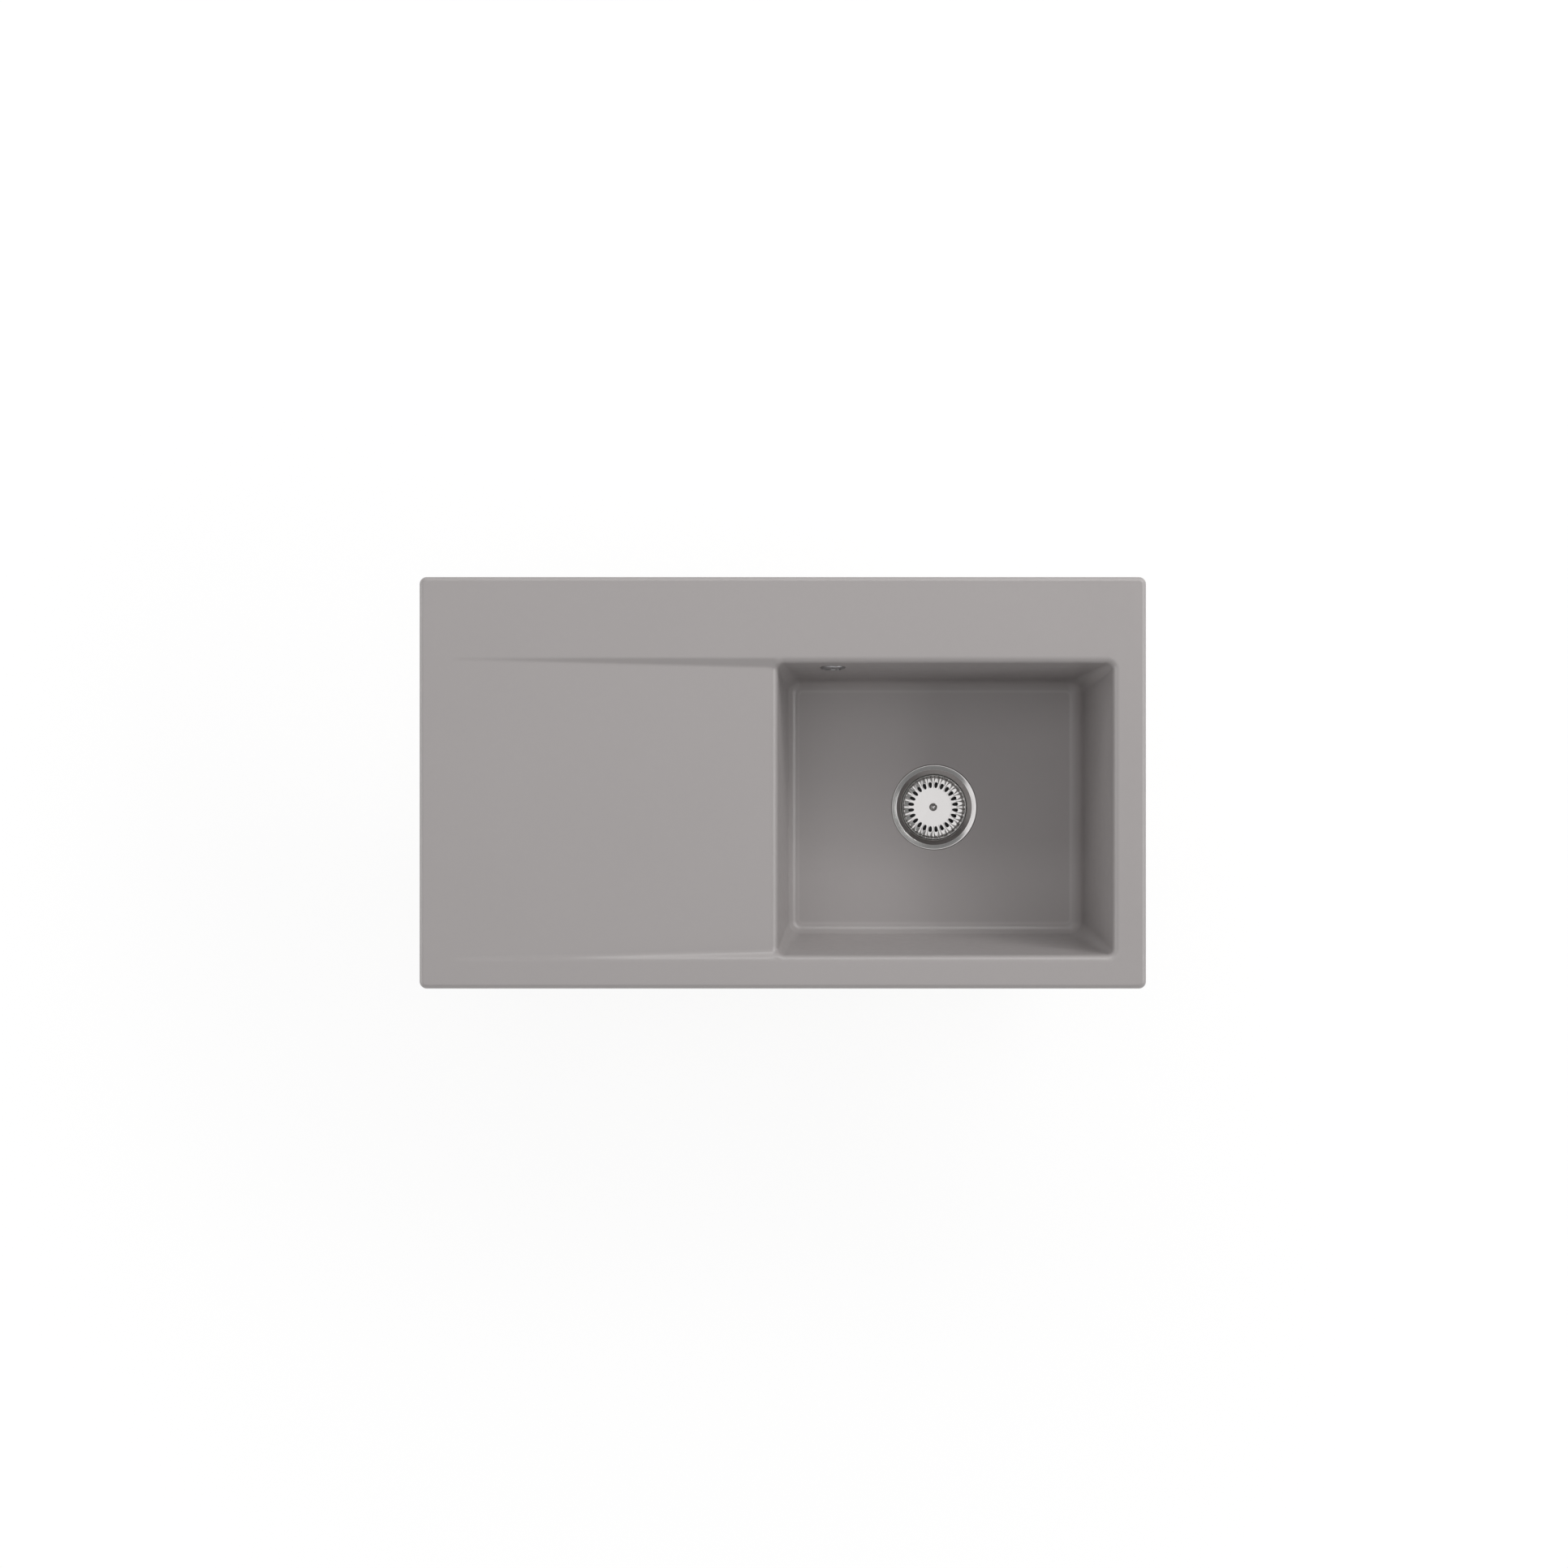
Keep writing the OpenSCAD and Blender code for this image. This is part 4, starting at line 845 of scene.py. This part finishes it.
def make_waste_body():
    """Moulded waste body: flange on gussets, cone, threaded outlet and overflow port."""
    outside = at_height([
        (0, 0), (59.2, 0), (59.8, -0.3), (60, -1), (60, -4), (59.8, -4.7), (59.2, -5), (54.5, -5),
        (53.2, -5.5), (52.3, -6.6), (52, -8), (52, -10), (52.9, -10.6), (52.9, -13.4), (52, -14),
        (52, -36), (51.6, -37.4), (27.6, -56.4), (26.4, -57), (24.6, -57.1), (OUTLET_R, -57.6),
    ], BODY_TOP_Z)
    outside += reversed(column(OUTLET_R, OUTLET_END_Z + 1.1, OUTLET_END_Z + 20.6))
    outside += at_height([(23.3, 0.3), (22.6, 0), (0, 0)], OUTLET_END_Z)
    bm = spun(bmesh.new(), outside, 120)
    cut_thread(bm, OUTLET_R, OUTLET_END_Z + 0.8, OUTLET_END_Z + 21, *OUTLET_THREAD)
    webs = bmesh.new()
    for i in range(GUSSETS):
        turn = Matrix.Rotation((i + 0.5) * 2 * pi / GUSSETS, 4, "Z")
        block(webs, (51, -0.9, BODY_TOP_Z - 13.5), (58, 0.9, BODY_TOP_Z - 4.5), turn)
    for vert in webs.verts:
        if vert.co.z < BODY_TOP_Z - 12 and vert.co.xy.length > 55:
            vert.co.xy *= 53 / vert.co.xy.length
    bm = carve(bm, webs, "UNION")
    port = spun(bmesh.new(), [
        (0, 40), (SOCKET_R, 40), (SOCKET_R, 58), (15.2, 58.6), (COLLAR_R, 59.2), (COLLAR_R, 60.4),
        (15.2, 61), (SOCKET_R, 61.4), *column(SOCKET_R, 62, PORT_END - 1.2), (13.4, PORT_END - 0.4),
        (12.8, PORT_END), (0, PORT_END),
    ], 72)
    cut_thread(port, SOCKET_R, 61.7, PORT_END - 0.8, *SOCKET_THREAD)
    bmesh.ops.transform(port, matrix=ALONG_PORT, verts=port.verts)
    bm = carve(bm, port, "UNION")
    inside = at_height([
        (0, 80), (49, 80), (49, 43), (48.4, 41), (21.8, 22.8), (20.7, 21.6), (20.5, 20.4),
        (20.5, 0.8), (21.2, 0.1), (21.6, -1), (0, -1),
    ], OUTLET_END_Z)
    bm = carve(bm, spun(bmesh.new(), inside, 120))
    bore = bmesh.new()
    rod(bore, SOCKET_BORE_R, 17.2, PORT_END + 1, 64, ALONG_PORT)
    bm = carve(bm, bore)
    # The screw's boss on a cross of four arms
    boss_low_z, boss_top_z = -258.2, -237.2
    boss = spun(bmesh.new(), [
        (0, boss_low_z), (8.4, boss_low_z), (9.2, boss_low_z + 0.8), (9.2, boss_top_z - 0.7),
        (8.5, boss_top_z), (0, boss_top_z),
    ], 64)
    for a in (45, 135):
        cross = bmesh.new()
        block(cross, (-50.5, -1.5, boss_low_z + 0.3), (50.5, 1.5, boss_top_z - 0.3),
              Matrix.Rotation(radians(a), 4, "Z"))
        for vert in cross.verts:
            if vert.co.z < boss_low_z + 8:
                vert.co.xy *= 39.5 / 50.5
        boss = carve(boss, cross, "UNION")
    bore = bmesh.new()
    rod(bore, 6.8, boss_low_z + 4, boss_top_z + 1.2, 48)
    rod(bore, 6, boss_low_z - 1.8, boss_low_z + 3.9, 48)
    bm = carve(bm, carve(boss, bore), "UNION")
    bmesh.ops.remove_doubles(bm, verts=bm.verts, dist=0.03)
    bmesh.ops.dissolve_degenerate(bm, edges=bm.edges, dist=0.02)
    return make_piece("waste_moulding", bm, "sink", [white_plastic],
                      ["waste_body"], AT_WASTE, sharp=32)


def make_overflow_head():
    """Moulded elbow behind the bowl: flange, rounded chamber and threaded socket."""
    bm = spun(bmesh.new(), [
        (0, 5.5), (12.6, 5.5), (13, 5.9), (13, 14.05), (21.4, 14.05), (22, 14.6), (22, 16.5),
        (21.4, 17.05), (18.4, 17.2), (17.3, 17.9), (17, 19), (17, 41), (16.6, 43.6), (15.4, 46),
        (13.4, 47.9), (10.6, 48.8), (0, 49.05),
    ], 96)
    webs = bmesh.new()
    for i in range(WEBS):
        block(webs, (15, -1, 16), (21, 1, 21), Matrix.Rotation(i * 2 * pi / WEBS, 4, "Z"))
    for vert in webs.verts:
        if vert.co.z > 20 and vert.co.xy.length > 18:
            vert.co.xy *= 17 / vert.co.xy.length
    bm = carve(bm, webs, "UNION")
    bmesh.ops.transform(bm, matrix=OUTWARD, verts=bm.verts)
    profile = at_height([(0, 0), (12.8, 0), (13.4, 0.4)], SOCKET_Z)
    profile += column(SOCKET_R, SOCKET_Z + 1.2, SOCKET_Z + 13)
    profile += at_height([
        (15.2, 13.8), (COLLAR_R, 14.4), (COLLAR_R, 15.6), (15.2, 16.2), (SOCKET_R, 16.8),
        (SOCKET_R, 40), (0, 40),
    ], SOCKET_Z)
    socket = spun(bmesh.new(), profile, 72)
    cut_thread(socket, SOCKET_R, SOCKET_Z + 0.8, SOCKET_Z + 13.1, *SOCKET_THREAD)
    bmesh.ops.transform(socket, matrix=TO_PIPE, verts=socket.verts)
    bm = carve(bm, socket, "UNION")
    hollow = spun(bmesh.new(), [(0, 2), (10.5, 2), (10.5, 17.05), (14.5, 17.05), (14.5, 41), (12.6, 45),
                                (10, 46.4), (0, 46.5)], 72)
    bmesh.ops.transform(hollow, matrix=OUTWARD, verts=hollow.verts)
    # A bridge and its boss for the screw stay in the hollow
    bridge, boss = bmesh.new(), bmesh.new()
    block(bridge, (-13.4, -1.5, 5.6), (13.4, 1.5, 13.5), OUTWARD)
    rod(boss, 5, 5.3, 17.8, 40, OUTWARD)
    bm = carve(bm, carve(hollow, carve(bridge, boss, "UNION")))
    bore = spun(bmesh.new(), at_height([
        (0, -1), (SOCKET_BORE_R, -1), (SOCKET_BORE_R, 14), (PIPE_BORE_R, 14), (PIPE_BORE_R, 37.5),
        (0, 37.5),
    ], SOCKET_Z), 64)
    bmesh.ops.transform(bore, matrix=TO_PIPE, verts=bore.verts)
    bm = carve(bm, bore)
    hole = bmesh.new()
    rod(hole, 2.45, 0, 19, 32, OUTWARD)
    return make_piece("overflow_elbow", carve(bm, hole), "sink", [white_plastic],
                      ["overflow_head"], sharp=32)


def make_overflow_pipe():
    """Drawn pipe: down from the elbow, round a bend and across to the port."""
    top, end = SOCKET_Z + 14, PIPE_RUN - PORT_END + 14
    path = [(Vector((0, 0, z)), 0)
            for z in (top - 0.4, top - 4, -90, -100, -140, -180, PORT_Z + BEND_R)]
    for k in range(1, 17):
        a = pi / 2 * k / 16
        path.append((Vector((BEND_R * (1 - cos(a)), 0, PORT_Z + BEND_R * (1 - sin(a)))), a))
    path += [(Vector((x, 0, PORT_Z)), pi / 2) for x in (60, 110, end - 4, end - 0.4)]
    segments = 48
    turns = [2 * pi * k / segments for k in range(segments)]

    def around(place, tilt, radius):
        """Places of a ring round the pipe's axis, tilted with it."""
        tip = Matrix.Rotation(-tilt, 3, "Y")
        return [place + tip @ Vector((radius * cos(a), radius * sin(a), 0)) for a in turns]

    # Down the outside, round the far end, back through the bore and round the top
    steps = [(*path[0], PIPE_R - 0.3)] + [(*step, PIPE_R) for step in path[1:-1]]
    steps.append((*path[-1], PIPE_R - 0.3))
    last, tilt = Vector((end, 0, PORT_Z)), pi / 2
    steps += [(last, tilt, PIPE_R - 0.6), (last, tilt, PIPE_BORE_R + 0.4),
              (path[-1][0], tilt, PIPE_BORE_R)]
    steps += [(*step, PIPE_BORE_R) for step in reversed(path[:-1])]
    first = Vector((0, 0, top))
    steps += [(first, 0, PIPE_BORE_R + 0.4), (first, 0, PIPE_R - 0.6)]
    bm = bmesh.new()
    ring = start = first_ring(bm, around(*steps[0]))
    for step in steps[1:]:
        ring = grow(bm, ring, around(*step))
    seam = [bm.edges.get((r[i - 1], r[i])) for r in (ring, start) for i in range(segments)]
    bmesh.ops.bridge_loops(bm, edges=seam)
    return make_piece("overflow_drain_pipe", bm, "sink", [white_plastic],
                      ["overflow_pipe"], ALONG_PIPE)


def make_pipe_nut(name, stands_for, place):
    """Moulded nut with eight rounded grip ribs."""
    profile = [(11.1, 0.4), (11.5, 0), (15.6, 0), (16.6, 0.5), (17.1, 1.5), (17.1, 3), (17.1, 8),
               (17.1, 12), (17.1, 13.4), (16.7, 14.5), (15.9, 15), (14.5, 15), (14.05, 14.6),
               (14.05, 4.4), (13.6, 4), (11.1, 4)]
    bm = spun(bmesh.new(), profile, 144)
    for vert in bm.verts:
        r = vert.co.xy.length
        if r > 15.5:
            turn = (atan2(vert.co.y, vert.co.x) + pi / 8) % (pi / 4) - pi / 8
            rib = step_up(radians(9) - abs(turn), 0, radians(5))
            vert.co.xy *= 1 + 1.75 * rib * step_up(r, 15.5, 17.1) / r
    return make_piece(name, bm, "sink", [grey_plastic], [stands_for], place)


def make_clamp_screw():
    """Hexagon-headed screw with the hole that takes the stopper's pin."""
    under_z, end_z = SCREW_TOP_Z - HEAD_H, SCREW_TOP_Z - HEAD_H - SHANK_L
    head = spun(bmesh.new(), [(0, under_z), (7.2, under_z), (HEAD_R, under_z + 0.5),
                              (HEAD_R, SCREW_TOP_Z - 0.5), (7.1, SCREW_TOP_Z), (0, SCREW_TOP_Z)], 72)
    hexagon = bmesh.new()
    rod(hexagon, HEAD_R, under_z - 1, SCREW_TOP_Z + 1, 6)
    head = carve(head, hexagon, "INTERSECT")
    threaded = reversed(column(SHANK_R, end_z + 0.6, under_z - 2, 0.25))
    shank = spun(bmesh.new(), [(0, under_z + 1), (SHANK_R, under_z + 1), *threaded, (4.4, end_z),
                               (0, end_z)], 48)
    cut_thread(shank, SHANK_R, end_z + 0.5, under_z - 2, *SCREW_THREAD)
    bm = carve(head, shank, "UNION")
    hole = bmesh.new()
    rod(hole, PIN_HOLE_R, SCREW_TOP_Z - PIN_HOLE_DEEP, SCREW_TOP_Z + 1, 48)
    bmesh.ops.create_cone(hole, cap_ends=True, segments=48, radius1=PIN_HOLE_R - 0.3,
                          radius2=PIN_HOLE_R + 0.9, depth=1.2,
                          matrix=Matrix.Translation((0, 0, SCREW_TOP_Z)))
    return make_piece("clamp_bolt", carve(bm, hole), "sink", [turned_steel],
                      ["clamp_screw"], AT_WASTE, sharp=30)


def make_carrier():
    """Stopper carrier: plate with a rolled edge, hub, ribs and a grooved pin."""
    plate_z = -229.4
    bm = spun(bmesh.new(), at_height([
        (0, -18.5), (1.2, -18.4), (2.3, -17.7), (3, -16.6), (3, -11.6), (2.15, -11.5),
        (2.15, -10.6), (3, -10.5), (3, -0.6), (3.6, 0), (32.2, 0), (32.8, 0.2), (33, 0.8),
        (33, 2.6), (32.7, 3.2), (32, 3.5), (31.2, 3.4), (30.6, 3), (10.2, 3), (9.3, 3.4),
        (9, 4.2), (9, 11.5), (8.6, 12), (8, 12.2), (2.9, 12.2), (2.55, 11.9), (2.55, 2.6), (0, 2.5),
    ], plate_z), 96)
    ribs = bmesh.new()
    for i in range(6):
        block(ribs, (8, -1, plate_z + 2.8), (30, 1, plate_z + 6), Matrix.Rotation(i * pi / 3, 4, "Z"))
    for vert in ribs.verts:
        if vert.co.z > plate_z + 5 and vert.co.xy.length > 20:
            vert.co.z -= 2
    bm = soften(carve(bm, ribs, "UNION"), 0.25, over=60)
    return make_piece("stopper_plate", bm, "stopper", [black_plastic],
                      ["stopper_carrier"], AT_WASTE, sharp=32)


make_sink()
make_flange()
make_basket()
make_knob()
make_overflow_cover()
make_overflow_screw()
make_waste_body()
make_overflow_head()
make_overflow_pipe()
# Each nut starts this far before the end of its socket
NUT_BEFORE = 7
make_pipe_nut("pipe_nut_top", "overflow_nut_top",
              Matrix.Translation((PIPE.x, PIPE.y, SOCKET_Z - NUT_BEFORE)))
make_pipe_nut("pipe_nut_bottom", "overflow_nut_bottom",
              ALONG_PIPE @ Matrix.Translation((PIPE_RUN - PORT_END - NUT_BEFORE, 0, PORT_Z))
              @ Matrix.Rotation(pi / 2, 4, "Y"))
make_clamp_screw()
make_carrier()


def dress(material, *names):
    """Gives CAD nodes that keep their own shape a finished material."""
    for name in names:
        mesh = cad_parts[name].data
        mesh.materials.clear()
        mesh.materials.append(material)


dress(black_rubber, "flange_seal", "waste_seal", "stopper_seal", "detent_ring", "overflow_cover_seal",
      "overflow_wall_seal", "overflow_washer_top", "overflow_washer_bottom")
dress(red_fibre, "clamp_washer")
dress(turned_brass, "clamp_insert")


# Studio
def lamp(name, place, aim, size, power, colour=(1.0, 0.995, 0.99)):
    """A soft rectangular lamp that the camera doesn't see."""
    light = bpy.data.lights.new(name, "AREA")
    light.color = colour
    light.shape = "RECTANGLE"
    light.size, light.size_y = size
    light.energy = power
    holder = bpy.data.objects.new(name, light)
    scene.collection.objects.link(holder)
    holder.location = place
    holder.rotation_euler = (Vector(aim) - Vector(place)).to_track_quat("-Z", "Y").to_euler()
    holder.visible_camera = False
    return holder


def towards(azimuth, elevation, distance):
    """A place seen from the sink in a direction, at a distance."""
    a, e = radians(azimuth), radians(elevation)
    return distance * cos(e) * cos(a), distance * cos(e) * sin(a), distance * sin(e)


lamp("overhead", (-0.85, 0, 3.4), (-0.85, 0, 0), (3.5, 3.4), 30.4, (1.0, 0.975, 0.985))
# Azimuth and elevation in degrees, distance, size and power of the lamps round the sink
LAMPS = {
    "back right": (45, 33, 3.2, (2.1, 0.7), 39),
    "back": (90, 34, 4, (2.6, 0.9), 37),
    "right": (0, 34, 4, (2.6, 0.9), 37),
    "front": (270, 15, 4, (2.6, 1.2), 19),
    "left": (185, 15, 4, (2.6, 1.2), 37),
}
for name, (azimuth, elevation, distance, size, power) in LAMPS.items():
    holder = lamp(name, towards(azimuth, elevation, distance), (0, 0, 0), size, power)
    # The front lamp only fills: no streak along the back edge of the bowl
    holder.visible_glossy = name != "front"

world = bpy.data.worlds.new("studio")
scene.world = world
world.use_nodes = True
tree = world.node_tree
tree.nodes.clear()
# White surroundings under a dimmer ceiling, as the camera and reflections see it
heading = add(tree, "ShaderNodeTexCoord").outputs["Generated"]
upwards = add(tree, "ShaderNodeSeparateXYZ", Vector=heading).outputs["Z"]
above = smooth_range(tree, upwards, 0.25, 0.7, 0.0, 1.0)
path = add(tree, "ShaderNodeLightPath")
mirrored = maths(tree, "MAXIMUM", path.outputs["Is Glossy Ray"], path.outputs["Is Transmission Ray"])
white, surroundings, ceiling = [
    add(tree, "ShaderNodeBackground", Color=(1, 1, 1, 1), Strength=strength).outputs[0]
    for strength in (1.0, 0.29, 0.27)
]
around = add(tree, "ShaderNodeMixShader", i0=mirrored, i1=surroundings, i2=white)
dome = add(tree, "ShaderNodeMixShader", i0=above, i1=around.outputs[0], i2=ceiling)
both = add(tree, "ShaderNodeMixShader", i0=path.outputs["Is Camera Ray"], i1=dome.outputs[0],
           i2=white)
out = tree.nodes.new("ShaderNodeOutputWorld")
tree.links.new(both.outputs[0], out.inputs["Surface"])

# The floor lies half a millimetre below the waste's outlet
FLOOR_UNDER_Z, FLOOR_HALF = -0.2925, 12
bm = bmesh.new()
bmesh.ops.create_grid(bm, x_segments=1, y_segments=1, size=FLOOR_HALF,
                      matrix=Matrix.Translation((0, 0, FLOOR_UNDER_Z)))
mesh = bpy.data.meshes.new("floor")
bm.to_mesh(mesh)
bm.free()
floor = bpy.data.objects.new("floor", mesh)
scene.collection.objects.link(floor)
pale, tree, where = start_material("pale floor")
path = add(tree, "ShaderNodeLightPath")
patch = grain(tree, where, 3.0, 0.01)
paint = tinted(tree, (0.86, 0.86, 0.86), patch.outputs["Shade"])
lit = add(tree, "ShaderNodeBsdfDiffuse", Color=paint)
# Shown nearly white close by, where the shadow falls, and white further out
glow = add(tree, "ShaderNodeEmission", Color=(1, 1, 1, 1), Strength=1.03)
away = add(tree, "ShaderNodeVectorMath", {"operation": "LENGTH"}, i0=where)
whiter = smooth_range(tree, away.outputs["Value"], 0.7, 2.2, 0.86, 1.0)
seen = path.outputs["Is Camera Ray"]
for ray in ("Is Glossy Ray", "Is Transmission Ray"):
    seen = maths(tree, "MAXIMUM", seen, path.outputs[ray])
share = maths(tree, "MULTIPLY", seen, whiter)
both = add(tree, "ShaderNodeMixShader", i0=share, i1=lit.outputs[0], i2=glow.outputs[0])
out = tree.nodes.new("ShaderNodeOutputMaterial")
tree.links.new(both.outputs[0], out.inputs["Surface"])
mesh.materials.append(pale)

# Straight above, where the rim shows at about a millimetre a pixel
CAMERA_PLACE = (0.0015, -0.0015, 2.704)
camera_data = bpy.data.cameras.new("camera")
camera_data.lens = 50
camera_data.sensor_width = 36
camera_data.clip_end = 100
camera = bpy.data.objects.new("camera", camera_data)
scene.collection.objects.link(camera)
camera.location = CAMERA_PLACE
scene.camera = camera
scene.view_settings.view_transform = "Standard"
